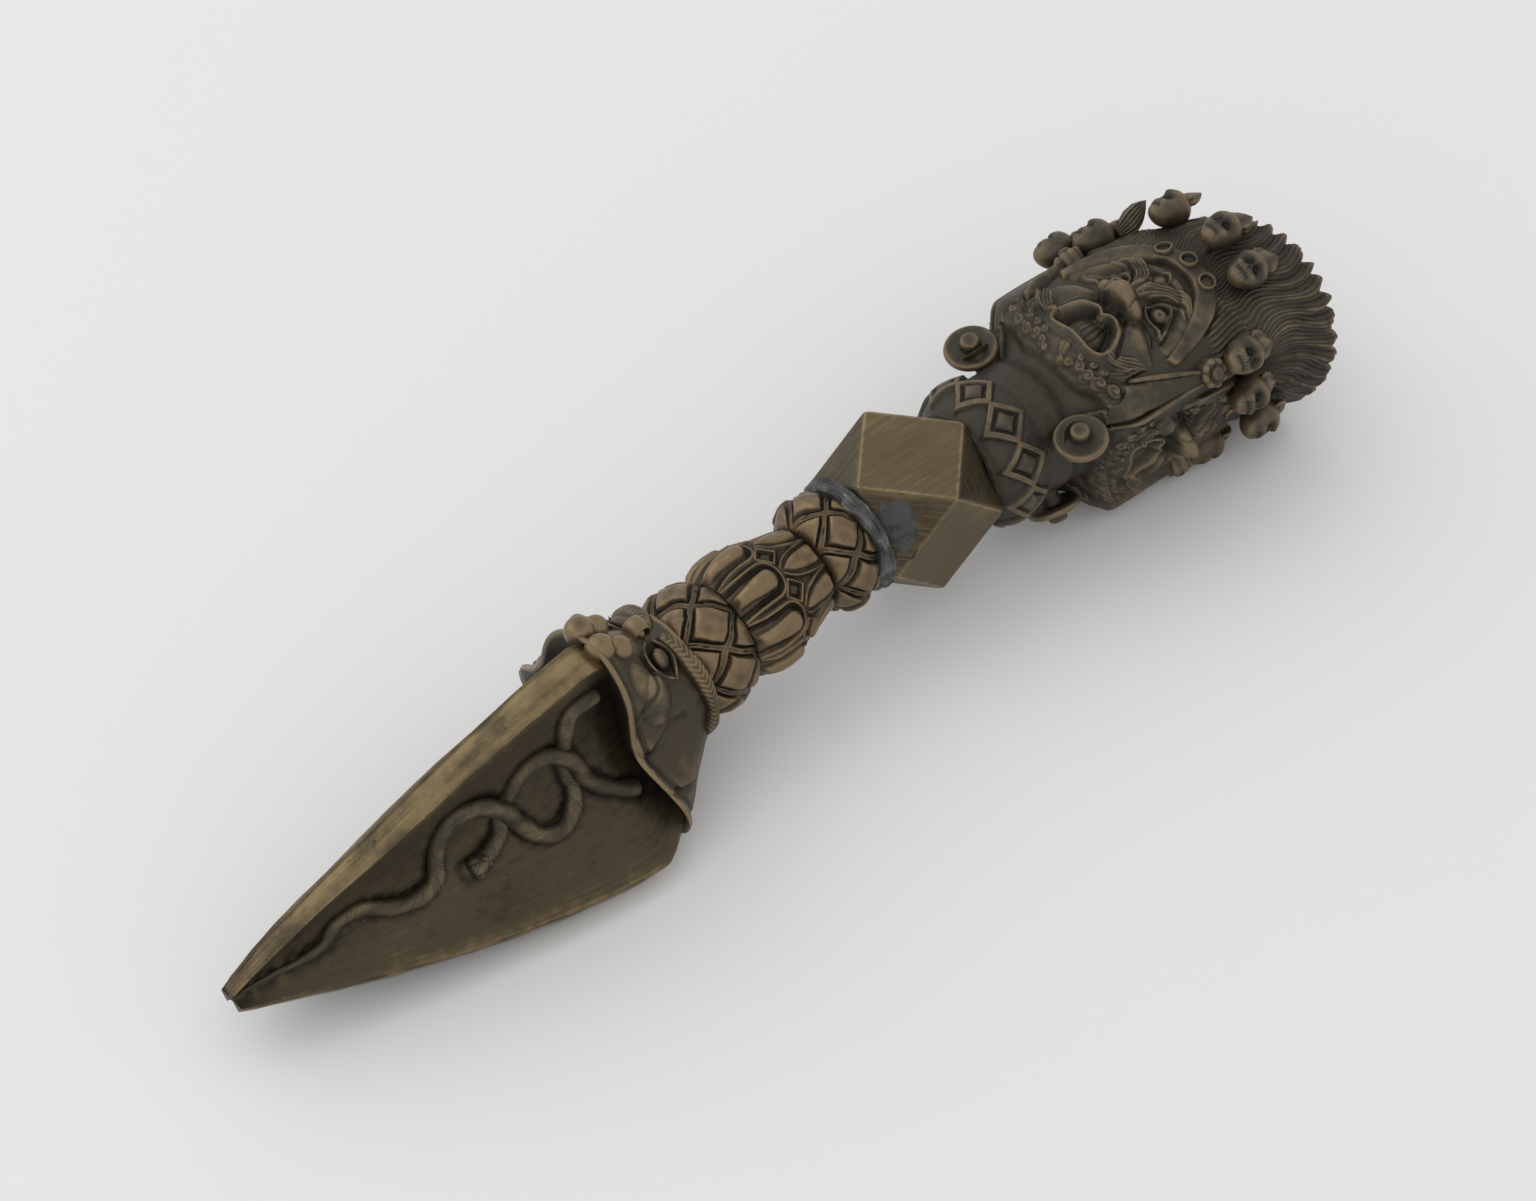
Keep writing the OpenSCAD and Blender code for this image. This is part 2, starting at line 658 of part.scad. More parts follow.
// Head core: tenon, neck inside the collar and the rod that carries faces and hair
module head_core() {
    color(brass_dark) upper() {
        translate([0, 0, block_width - tenon_length]) cylinder(d = tenon_diameter, h = tenon_length);
        translate([0, 0, block_width]) cylinder(r = core_radius, h = z_hair - block_width);
    }
}

// Relief of one face: x is millimetres round from its middle, y millimetres above its mouth
function mouth_hollow(x, y) =
    let (q = pow(x / 6.6, 2) + pow((y - 0.3 + 0.04 * x * x) / 4.4, 2)) 1 / (1 + pow(q, 3));
function mouth_rim(x, y) =
    let (q = pow(x / 7.6, 2) + pow((y - 0.3 + 0.04 * x * x) / 5.4, 2)) exp(-pow((q - 1) / 0.45, 2));
function face_relief(x, y) =
    (nose_rise * bell(x, y, 0, 7.6, 2.8, 2.6) + 0.6 * nose_rise * pair(x, y, 3.9, 6.4, 2, 2)
    + 2.6 * bell(x, y, 0, 12.5, 1.8, 4.4)
    + 3 * pair(x, y, 9.2, 5, 3, 4.2)
    - 2 * pair(x, y, 6.6, 12.6, 3.2, 2.6)
    + 2 * pair(x, y, 6.4, 17, 4, 1.7)
    + 1.6 * bell(x, y, 0, 19.5, 1.8, 2.8)
    + 1.1 * mouth_rim(x, y)
    + 2.4 * bell(x, y, 0, -8.4, 5.5, 2)
    + 2 * bell(abs(x), y, 8, -4.5, 3, 2.4)
    - 4 * mouth_hollow(x, y))
    * (1 - smooth((abs(x) - 11.4) / 4));
function ear_share(angle) = let (a = abs(((angle + 540) % 360) - 180))
    a <= ear_angle ? smooth((a - 16) / (ear_angle - 16))
    : a <= rear_ear_angle ? smooth((abs(a - side_middle) - 11) / (side_sector / 2 - 11))
    : 0.5 + 0.5 * smooth((180 - a) / (180 - rear_ear_angle));
function head_base(y, angle) =
    neck_radius + (cheek_radius - neck_radius) * smooth((y + 12) / 8)
    - 0.8 * smooth((y - 12) / 14) + 0.3 * bell(0, y, 0, -13.5, 1, 2.4)
    + ear_rise * ear_share(angle) * smooth((y + 14) / 11);
function face_angle(angle) = abs(angle) <= ear_angle ? angle
    : abs(angle) <= rear_ear_angle
    ? (angle - sign(angle) * side_middle) * front_sector / side_sector : 180;
function head_radius(angle, z) =
    let (a = ((angle + 540) % 360) - 180, f = face_angle(a), y = z - z_mouth)
    head_base(y, a) + (f == 180 ? 0.2 : face_relief(f * 15 * 3.14159 / 180, y));

// Shell over part of the head, from angle a to angle b, with n columns
module head_sector(a, b, n) {
    rows = 31;
    inner = core_radius + skin;
    at = function (j) a + (b - a) * j / (n - 1);
    inset = function (j) j == 0 ? 0.001 : j == n - 1 ? -0.001 : 0;
    skin_points = [for (i = [0:rows - 1]) for (j = [0:n - 1])
        let (z = z_face + face_length * i / (rows - 1))
        polar(head_radius(at(j) + inset(j), z), at(j), z)];
    low = [for (j = [0:n - 1]) polar(inner, at(j), z_face)];
    high = [for (j = [0:n - 1]) polar(inner, at(j), z_hair)];
    first = rows * n;
    second = first + n;
    outside = [for (i = [0:rows - 2]) for (j = [0:n - 2]) let (p = i * n + j)
        each [[p, p + n + 1, p + 1], [p, p + n, p + n + 1]]];
    inside = [for (j = [0:n - 2])
        each [[first + j, first + j + 1, second + j + 1], [first + j, second + j + 1, second + j]]];
    bottom = [each [for (j = [0:n - 1]) j], each [for (j = [n - 1:-1:0]) first + j]];
    top = [each [for (j = [n - 1:-1:0]) (rows - 1) * n + j], each [for (j = [0:n - 1]) second + j]];
    start = [first, second, each [for (i = [rows - 1:-1:0]) i * n]];
    finish = [each [for (i = [0:rows - 1]) i * n + n - 1], second + n - 1, first + n - 1];
    upper(head_roll) polyhedron(concat(skin_points, low, high),
        concat(outside, inside, [bottom, top, start, finish]), convexity = 8);
}

module face_front() { color(brass_dark) head_sector(-ear_angle, ear_angle, 30); }
module face_right() { color(brass_dark) head_sector(ear_angle, rear_ear_angle, 22); }
module face_left() { color(brass_dark) head_sector(-rear_ear_angle, -ear_angle, 22); }
module nape() { color(brass_dark) head_sector(rear_ear_angle, 360 - rear_ear_angle, 10); }

module eyes(middle) {
    eye_x = 6.3;
    eye_turn = eye_x / 15 * 180 / 3.14159;
    eye_z = z_mouth + 12.5;
    color(brass_worn) upper(head_roll) for (s = [-1, 1]) rotate([0, 0, middle + s * eye_turn])
        translate([head_radius(middle + s * eye_turn, eye_z) - 0.4, 0, eye_z])
        sphere(r = eye_radius);
}

module eyes_front() { eyes(0); }
module eyes_right() { eyes(side_middle); }
module eyes_left() { eyes(-side_middle); }

ear_angles = [ear_angle, -ear_angle, rear_ear_angle, -rear_ear_angle];

// Radius of a lobe's outer face: close to the neck behind the disc, then straight up to the ear
function lobe_top(z) = lookup((z - z_disc) / disc_diameter, [
    [0, neck_radius + 0.8], [0.49, neck_radius + 0.9], [0.56, disc_reach + 1],
    [1.5, cheek_radius + ear_rise + lobe_thickness - 0.6]
]);

// Long lobes that hang from the crown to the earrings, clear of the neck like a web
module ear_lobes() {
    low = z_disc + lobe_width / 2;
    steps = [0, 0.07, 0.13, 0.18, 0.3, 0.4, 0.5, 0.6, 0.7, 0.8, 0.9, 1];
    color(brass_dark) upper(head_roll) for (a = ear_angles) {
        loft([for (u = steps)
            let (z = low + (z_ear_top - low) * u, half = lobe_width / 2 * (1 - 0.4 * u),
                r = head_radius(a, z), top = max(r + lobe_thickness, lobe_top(z)),
                turn = asin(half / r))
            [polar(r - seat, a - turn, z), polar(top, a - turn * 0.8, z),
                polar(top, a + turn * 0.8, z), polar(r - seat, a + turn, z)]]);
    }
}

// Disc with a boss, on a short stem from the neck
module earring(angle) {
    stem = neck_radius - 0.3;
    color(brass_dark) upper(head_roll) rotate([0, 0, angle]) translate([0, 0, z_disc])
        rotate([0, 90, 0]) {
            translate([0, 0, stem]) cylinder(d = lobe_width - 1, h = disc_reach - stem - 0.5);
            translate([0, 0, disc_reach - disc_thickness])
                cylinder(d = disc_diameter, h = disc_thickness);
            translate([0, 0, disc_reach - 0.5]) cylinder(d = boss_diameter, h = boss_height + 0.5);
        }
}

// Front disc: it lies the way the front face looks, beside the neck, on a stem from it
module front_earring(side) {
    stem = neck_radius - 0.3;
    color(brass_dark) upper(head_roll) translate([0, 0, z_disc]) {
        rotate([0, 0, side * front_disc_angle]) {
            rotate([0, 90, 0]) translate([0, 0, stem])
                cylinder(d = lobe_width - 1, h = front_disc_reach - stem - 1.7);
            translate([front_disc_reach, 0, 0])
                rotate([0, 90 + disc_lean, side * (disc_splay - front_disc_angle)]) {
                    translate([0, 0, -disc_thickness]) cylinder(d = disc_diameter, h = disc_thickness);
                    translate([0, 0, -0.5]) cylinder(d = boss_diameter, h = boss_height + 0.5);
                }
        }
    }
}

module earring_front_right() { front_earring(1); }
module earring_front_left() { front_earring(-1); }
module earring_rear_right() { earring(rear_ear_angle); }
module earring_rear_left() { earring(-rear_ear_angle); }

// Band that arches over a forehead, steeper and steeper down to the ears on both sides
function band_reach(half_sector) = half_sector - 18;
function band_z(offset, half_sector) =
    z_band - band_arch * pow(abs(offset) / band_reach(half_sector), 2.4);

module band(middle, half_sector, columns) {
    reach = band_reach(half_sector);
    color(brass_dark) upper(head_roll) loft([for (i = [0:columns])
        let (d = -reach + 2 * reach * i / columns, z = band_z(d, half_sector), a = middle + d,
            arc = cheek_radius / 57.3, fall = (band_z(d + 0.1, half_sector)
                - band_z(d - 0.1, half_sector)) / (0.2 * arc),
            up = band_width / 2 / sqrt(1 + fall * fall), across = -up * fall / arc,
            r1 = head_radius(a - across, z - up), r2 = head_radius(a + across, z + up),
            r = max(r1, r2) + band_thickness)
        [polar(r1 - seat, a - across, z - up), polar(r2 - seat, a + across, z + up),
            polar(r, a + across, z + up), polar(r, a - across, z - up)]]);
}

module band_front() { band(0, ear_angle, 20); }
module band_right() { band(side_middle, side_sector / 2, 14); }
module band_left() { band(-side_middle, side_sector / 2, 14); }
module band_rear() { band(180, 180 - rear_ear_angle, 10); }

// Three cups on each band, for stones
module band_cups() {
    cup_radius = cup_diameter / 2;
    color(brass_worn) upper(head_roll) for (m = [0, side_middle, -side_middle]) for (k = [-1:1])
        let (half = m == 0 ? ear_angle : side_sector / 2, d = k * 0.42 * band_reach(half),
            z = band_z(d, half) + 0.4)
        rotate([0, 0, m + d])
        translate([head_radius(m + d, z) + band_thickness, 0, z]) rotate([0, 90, 0]) difference() {
            translate([0, 0, -seat]) cylinder(r = cup_radius, h = cup_radius * 0.7 + seat);
            translate([0, 0, cup_radius * 0.4]) cylinder(r = cup_radius * 0.7, h = cup_radius);
        }
}

// Rosettes over the ears, where the bands meet
module rosettes() {
    color(brass_worn) upper(head_roll) for (a = ear_angles) rotate([0, 0, a])
        translate([head_radius(a, z_ear_top) + lobe_thickness, 0, z_ear_top])
        rotate([0, 90, 0]) {
            half = rosette_diameter / 2;
            translate([0, 0, -seat]) cylinder(r = half, h = 0.4 * half + seat);
            translate([0, 0, 0.4 * half]) cylinder(r = 0.68 * half, h = 0.2 * half);
            translate([0, 0, 0.6 * half]) sphere(r = 0.4 * half);
        }
}

// Hair: flares from the crown to a ring of flame-shaped tips, closed by a low dome inside them
hair_columns = 3 * hair_tips;
function hair_tip(j) = tip_height * (j % 3 == 0 ? 0.5 : -0.5);
function hair_top(a) = 0.58 * hair_length + 0.89 * hair_lean * cos(a - 50)
    - 0.45 * hair_lean * bell(a > 180 ? a - 360 : a, 0, -15, 0, 18, 1);
function hair_root(a) = head_base(z_hair - z_mouth, a) - 0.3;
function hair_radius(u, j) = let (root = hair_root(360 * j / hair_columns))
    root + (hair_reach - root) * smooth(u)
    + 0.32 * tip_height * u * (j % 3 == 0 ? 1 : -0.4) + hair_lean * u * cos(360 * j / hair_columns - 115);
function hair_ring(u, shrink, lift, tips) = [for (j = [0:hair_columns - 1])
    let (a = 360 * j / hair_columns)
    polar(hair_radius(u, j) * shrink, a,
        z_hair + u * (0.58 * hair_length + (hair_top(a) - 0.58 * hair_length) * shrink) + lift
        + hair_tip(j) * tips)];

module flame_hair() {
    lift = 0.2 * hair_length;
    color(brass_dark) upper(head_roll) loft([
        for (i = [0:6]) hair_ring(i / 7, 1, 0, 0),
        hair_ring(1, 1, 0, 1), hair_ring(1, 0.93, 0, 0.4), hair_ring(1, 0.84, -0.1 * lift, 0),
        hair_ring(1, 0.6, 0.2 * lift, 0), hair_ring(1, 0.3, 0.7 * lift, 0),
        hair_ring(1, 0.05, lift, 0)
    ]);
}

// A skull with sockets and a jaw, crowned by a flame, with a stem where it stands clear
module skull(angle, z, reach, stem = 0) {
    jaw = skull_radius * 0.62;
    rotate([0, 0, angle]) translate([reach, 0, z]) {
        difference() {
            union() {
                sphere(r = skull_radius);
                translate([0.6, 0, -skull_radius * 0.8]) sphere(r = jaw);
                if (stem > 0) rotate([0, -90, 0]) cylinder(r = skull_radius * 0.6, h = stem);
            }
            for (s = [-1, 1]) translate([skull_radius * 0.95, s * skull_radius * 0.42, -0.3])
                sphere(r = skull_radius * 0.3);
        }
        translate([0, 0, skull_radius * 0.7])
            cylinder(r1 = skull_radius * 0.42, r2 = 0.3, h = skull_radius * 1.1);
    }
}

// Heights of the skulls, from those over the ears up to the middle one over the front face
skull_low = z_ear_top + rosette_diameter / 2 + skull_lift;
skull_high = z_hair + 0.25 * hair_length;
module skulls_front() {
    color(brass_worn) upper(head_roll) {
        skull(-0.75 * ear_angle, z_hair + 0.32 * hair_length, skull_reach);
        skull(0, skull_high, skull_reach);
        skull(0.44 * ear_angle, skull_high - 0.08 * hair_length, skull_reach);
    }
}

module skulls_side(side) {
    color(brass_worn) upper(head_roll) {
        skull(side * ear_angle, skull_low, skull_reach + 0.6 * ear_rise);
        if (side > 0)
            skull(side_middle - 0.15 * side_sector, z_hair - 0.2 * hair_length, skull_reach);
        else let (a = 0.35 * side_sector - side_middle, z = skull_low - skull_radius / 0.7,
            reach = skull_reach + 1.3 * ear_rise)
            skull(a, z, reach, reach - head_radius(a, z) + seat);
        skull(side * (side_middle + 0.2 * side_sector), z_hair + 0.03 * hair_length,
            skull_reach + 0.35 * ear_rise);
    }
}

module skulls_right() { skulls_side(1); }
module skulls_left() { skulls_side(-1); }
module skulls_rear() {
    color(brass_worn) upper(head_roll) {
        for (s = [-1, 1]) skull(s * rear_ear_angle, skull_low, skull_reach + 0.3 * ear_rise);
    }
}

blade();
tang();
long_snake_right();
long_snake_left();
long_snake_under();
short_snake_right();
short_snake_left();
short_snake_under();
mask_shell();
mask_nostrils();
mask_scroll();
mask_eyes();
mask_brow_right();
mask_brow_left();
mask_beard();
lower_knot();
lotus_grip();
lotus_long_petals();
lotus_short_petals();
lotus_diamonds();
upper_knot();
solder_fillet();
facet_block();
collar_ring();
collar_net();
head_core();
face_front();
face_right();
face_left();
nape();
eyes_front();
eyes_right();
eyes_left();
ear_lobes();
earring_front_right();
earring_front_left();
earring_rear_right();
earring_rear_left();
band_front();
band_right();
band_left();
band_rear();
band_cups();
rosettes();
skulls_front();
skulls_right();
skulls_left();
skulls_rear();
flame_hair();
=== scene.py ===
"""Looks of a three-bladed ritual dagger in patinated brass.

Every surface is a grid of points with two parameters, drawn in millimetres about the axis of its own
casting and then laid on the table. Relief (faces, petals, pads, hair) is height over such a grid.
"""

import logging
import math
from collections.abc import Callable, Sequence
from dataclasses import dataclass, fields
from enum import Enum

import bpy
import numpy as np
from mathutils import Matrix


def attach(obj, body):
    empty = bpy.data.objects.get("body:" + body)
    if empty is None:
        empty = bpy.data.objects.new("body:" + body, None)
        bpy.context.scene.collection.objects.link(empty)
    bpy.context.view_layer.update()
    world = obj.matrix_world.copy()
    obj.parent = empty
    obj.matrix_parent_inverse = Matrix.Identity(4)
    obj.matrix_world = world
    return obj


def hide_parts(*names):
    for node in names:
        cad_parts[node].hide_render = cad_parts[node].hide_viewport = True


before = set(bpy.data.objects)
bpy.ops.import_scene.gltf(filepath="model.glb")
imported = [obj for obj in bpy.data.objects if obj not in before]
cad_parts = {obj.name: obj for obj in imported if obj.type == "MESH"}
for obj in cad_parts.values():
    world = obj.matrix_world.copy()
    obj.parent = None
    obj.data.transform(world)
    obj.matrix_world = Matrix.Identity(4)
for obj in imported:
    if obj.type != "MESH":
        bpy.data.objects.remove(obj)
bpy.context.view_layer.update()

logging.basicConfig(level=logging.INFO, format="%(levelname)s %(message)s")
log = logging.getLogger("dagger")

Array = np.ndarray
Value = float | Array  # one number, or one for each point of a grid
Pair = tuple[Array, Array]
Triple = tuple[float, float, float]
Path = Sequence[tuple[float, ...]]
Socket = bpy.types.NodeSocket
Feed = Socket | float | Sequence[float]  # what an input takes

MM = 0.001
DEG = math.pi / 180
JOINT = np.array([19.913, 2.096, 21.58376])  # the solder joint, in millimetres


class Axis(Enum):
    """Axis of the table's frame that a casting is turned about."""

    Y = "y"
    Z = "z"


def turn(axis: Axis, degrees: float) -> Array:
    """Rotation matrix about one axis of the table's frame.

    Args:
        axis: Y or Z.
        degrees: angle of the turn.

    Returns:
        The 3 by 3 matrix.
    """
    c, s = math.cos(degrees * DEG), math.sin(degrees * DEG)
    if axis is Axis.Y:
        return np.array([[c, 0, s], [0, 1, 0], [-s, 0, c]])
    return np.array([[c, -s, 0], [s, c, 0], [0, 0, 1]])


@dataclass(frozen=True)
class Casting:
    """A part drawn about its own axis, +Z to the crown, and where it lies on the table."""

    matrix: Array

    def place(self, points: Array) -> Array:
        """Millimetres about the axis to metres on the table."""
        return (JOINT + points @ self.matrix.T) * MM


LYING = turn(Axis.Y, 90)
LOWER = Casting(turn(Axis.Y, -3.7) @ LYING @ turn(Axis.Z, 185.3))
UPPER = turn(Axis.Z, -3) @ turn(Axis.Y, 0.3) @ LYING
BLOCK = Casting(UPPER @ turn(Axis.Z, 187.2))
HEAD = Casting(UPPER @ turn(Axis.Z, 182.5))


def smooth(x: Value) -> Value:
    """Ease from 0 to 1: three x squared less two x cubed."""
    c = np.clip(x, 0, 1)
    return c * c * (3 - 2 * c)


def bell(x: Value, y: Value, cx: float, cy: float, sx: float, sy: float) -> Value:
    """Gauss bell over the plane."""
    return np.exp(-(((x - cx) / sx) ** 2) - ((y - cy) / sy) ** 2)


def hump(x: Value, middle: Value, width: float) -> Value:
    """Gauss curve: e to the minus square of the distance from the middle over the width."""
    return np.exp(-(((x - middle) / width) ** 2))


def shares(rows: int) -> Array:
    """Shares from 0 to 1 down the rows of a grid."""
    return np.linspace(0, 1, rows)[:, None]


def full_turn(columns: int, whole: float = 360.0) -> Array:
    """Angles once round, along the columns of a closed grid."""
    return np.linspace(0, whole, columns, endpoint=False)[None, :]


def run_along(points: Array) -> Array:
    """Distance run along a line at each of its points."""
    return np.concatenate([[0], np.cumsum(np.linalg.norm(np.diff(points, axis=0), axis=1))])


def polar(r: Value, angle: Value, z: Value) -> Array:
    """Points from radius, angle in degrees and height."""
    r, angle, z = np.broadcast_arrays(r, np.asarray(angle) * DEG, z)
    return np.stack([r * np.cos(angle), r * np.sin(angle), z], -1)


def curve(path: Path, steps: int) -> Array:
    """Smooth cubic through the points of a path.

    Args:
        path: points of any number of coordinates.
        steps: steps for each span.

    Returns:
        Points of the curve, one to a row.
    """
    p = np.asarray(path, float)
    n = len(p)
    u = np.arange((n - 1) * steps + 1) / steps
    k = np.minimum(u.astype(int), n - 2)
    f = (u - k)[:, None]
    a, b, c, d = p[np.maximum(k - 1, 0)], p[k], p[k + 1], p[np.minimum(k + 2, n - 1)]
    return b + 0.5 * f * (c - a + f * (2 * a - 5 * b + 4 * c - d + f * (3 * (b - c) + d - a)))


def ripple(x: Value, y: Value, scale: float, seed: int) -> Array:
    """Gentle unevenness from -1 to 1: a sum of seven waves of random direction.

    Args:
        x, y: place on the surface.
        scale: mean length of a wave.
        seed: which waves.

    Returns:
        One value for each point.
    """
    rng = np.random.default_rng(seed)
    total = np.zeros(np.broadcast(x, y).shape)
    for _ in range(7):
        heading, phase, wave = rng.uniform(0, 2 * np.pi), rng.uniform(0, 2 * np.pi), rng.uniform(0.6, 1.6)
        total += np.sin((x * np.cos(heading) + y * np.sin(heading)) * wave * 2 * np.pi / scale + phase)
    return total / 3.5


def box_blur(values: Array, radius: float, axis: int, loop: bool) -> Array:
    """Mean over a window along one axis, wrapped round where the grid closes.

    Args:
        values: the grid.
        radius: half of the window, in grid steps.
        axis: axis of the grid.
        loop: whether it closes along that axis.

    Returns:
        The smoothed grid.
    """
    radius = int(max(1, min(radius, values.shape[axis] // 2 - 1)))
    pads = [(0, 0)] * values.ndim
    pads[axis] = (radius + 1, radius)
    total = np.cumsum(np.pad(values, pads, mode="wrap" if loop else "edge"), axis=axis)
    n = values.shape[axis]
    high = np.take(total, np.arange(2 * radius + 1, 2 * radius + 1 + n), axis=axis)
    low = np.take(total, np.arange(0, n), axis=axis)
    return (high - low) / (2 * radius + 1)


def blurred(points: Array, radius: float, loop: bool) -> Array:
    """Points smoothed both ways along the grid, by two window means.

    Args:
        points: the grid.
        radius: half of the window, in millimetres.
        loop: whether the last column joins the first.

    Returns:
        The smoothed grid.
    """
    steps = [np.linalg.norm(np.diff(points, axis=a), axis=-1).mean() + 1e-9 for a in (0, 1)]
    for _ in range(2):
        points = box_blur(points, radius / steps[0], 0, False)
        points = box_blur(points, radius / steps[1], 1, loop)
    return points


def normals_of(points: Array, loop: bool) -> Array:
    """Unit normal at each grid point: cross product of the slopes along columns and rows.

    Args:
        points: the grid.
        loop: whether the last column joins the first.

    Returns:
        One normal for each point.
    """
    along = np.gradient(points, axis=0)
    across = (np.roll(points, -1, 1) - np.roll(points, 1, 1)) if loop else np.gradient(points, axis=1)
    n = np.cross(across, along)
    return n / (np.linalg.norm(n, axis=-1, keepdims=True) + 1e-12)


class Section(Enum):
    """Cross-section of a carved line."""

    ROUND = "round"
    RIDGE = "ridge"
    LEAF = "leaf"

    def shape(self, q: Array) -> Array:
        """Height of the section: a quarter circle, a smooth step, or a step hollowed toward its middle.

        Args:
            q: 0 on the line to 1 at its border.

        Returns:
            Share of the full height.
        """
        if self is Section.ROUND:
            return np.sqrt(1 - q * q)
        if self is Section.RIDGE:
            return smooth(1 - q)
        return smooth((1 - q) * 2) * (0.75 + 0.25 * q)


class Join(Enum):
    """How a carved line meets what is there already."""

    ADD = "add"
    HIGHER = "higher"


LENGTHWISE = 9.5  # slant of ribs that run along a leaf
STROKE_STEPS = 6


class Relief:
    """Height built feature by feature over a flat map in millimetres, with given patina and wear, and some
    painted shade and highlight.
    """

    def __init__(self, x: Array, y: Array) -> None:
        """Starts flat over a map of x and y."""
        self.x, self.y = np.broadcast_arrays(x, y)
        self.height = np.zeros(self.x.shape)
        self.hue = np.zeros(self.x.shape)

    def add(self, amount: Array, hue: float = 0.0) -> None:
        """Adds an amount everywhere, and patina in proportion to how much of it there is."""
        self.height = self.height + amount
        if hue:
            self.hue = self.hue + hue * np.clip(amount / (np.abs(amount).max() + 1e-9), 0, 1)

    def dome(self, cx: float, cy: float, rx: float, ry: float, height: float, power: float = 0.5,
             hue: float = 0.0) -> None:
        """Elliptic dome: (1 - q squared) to a power, where q is 1 at its rim.

        Args:
            cx, cy: middle.
            rx, ry: half width and half length.
            height: height over the surface; less than 0 cuts.
            power: 0.5 for a ball, more for a cone.
            hue: patina at its top.
        """
        q = ((self.x - cx) / rx) ** 2 + ((self.y - cy) / ry) ** 2
        shape = np.clip(1 - q, 0, 1) ** power
        self.height = self.height + height * shape
        if hue:
            self.hue = self.hue + hue * shape

    def stroke(self, path: Path, half: Value, height: Value, section: Section = Section.ROUND,
               hue: float = 0.0, ribs: Triple | None = None, join: Join = Join.ADD,
               steps: int = STROKE_STEPS) -> None:
        """Raised or cut line: a section laid across a smooth curve.

        Args:
            path: points (x, y) of the line.
            half: half width, or several that are spread along the line.
            height: height over the surface, or several along the line; less than 0 cuts.
            section: its cross-section.
            hue: patina at its top.
            ribs: (spacing, depth, slant) of fine grooves, slant 0 across and 1 chevrons.
            join: add to what is there, or keep the higher of the two.
            steps: steps of the curve for each span.
        """
        line = curve(path, steps)
        half_list, rise_list = np.atleast_1d(half), np.atleast_1d(height)
        reach = float(np.max(half_list)) + 0.05
        low, high = line.min(0) - reach, line.max(0) + reach
        near = (self.x > low[0]) & (self.x < high[0]) & (self.y > low[1]) & (self.y < high[1])
        if not near.any():
            return
        x, y = self.x[near], self.y[near]
        start = run_along(line)
        lengths = np.linalg.norm(np.diff(line, axis=0), axis=1)
        best = np.full(x.shape, 1e9)
        along = np.zeros(x.shape)
        side = np.zeros(x.shape)
        for k, (a, b) in enumerate(zip(line[:-1], line[1:])):
            ab = b - a
            f = np.clip(((x - a[0]) * ab[0] + (y - a[1]) * ab[1]) / (ab @ ab + 1e-12), 0, 1)
            dx, dy = x - a[0] - f * ab[0], y - a[1] - f * ab[1]
            d = np.hypot(dx, dy)
            closer = d < best
            best = np.where(closer, d, best)
            along = np.where(closer, start[k] + f * lengths[k], along)
            side = np.where(closer, np.sign(ab[0] * dy - ab[1] * dx), side)
        share = along / start[-1]
        width = np.interp(share, np.linspace(0, 1, len(half_list)), half_list)
        rise = np.interp(share, np.linspace(0, 1, len(rise_list)), rise_list)
        q = np.clip(best / np.maximum(width, 1e-3), 0, 1)
        shape = section.shape(q)
        if ribs:
            spacing, depth, slant = ribs
            phase = (along + slant * best) / spacing if slant != LENGTHWISE else best * side / spacing
            shape = shape * (1 - depth * (0.5 + 0.5 * np.cos(2 * np.pi * phase)))
        amount = rise * shape
        if join is Join.HIGHER:
            self.height[near] = np.maximum(self.height[near], amount)
        else:
            self.height[near] += amount
        if hue:
            self.hue[near] += hue * shape

    def edge_distance(self, path: Path) -> Array:
        """Distance inside a closed curve, less than 0 outside it.

        Args:
            path: points of the curve, the first not repeated.

        Returns:
            One distance for each point of the map.
        """
        line = curve(list(path) + [path[0]], STROKE_STEPS)
        best = np.full(self.x.shape, 1e9)
        inside = np.zeros(self.x.shape, bool)
        for a, b in zip(line[:-1], line[1:]):
            ab = b - a
            f = np.clip(((self.x - a[0]) * ab[0] + (self.y - a[1]) * ab[1]) / (ab @ ab + 1e-12), 0, 1)
            best = np.minimum(best, np.hypot(self.x - a[0] - f * ab[0], self.y - a[1] - f * ab[1]))
            crosses = (a[1] > self.y) != (b[1] > self.y)
            where = a[0] + (self.y - a[1]) / (ab[1] if abs(ab[1]) > 1e-9 else 1e-9) * ab[0]
            inside ^= crosses & (self.x < where)
        return np.where(inside, best, -best)


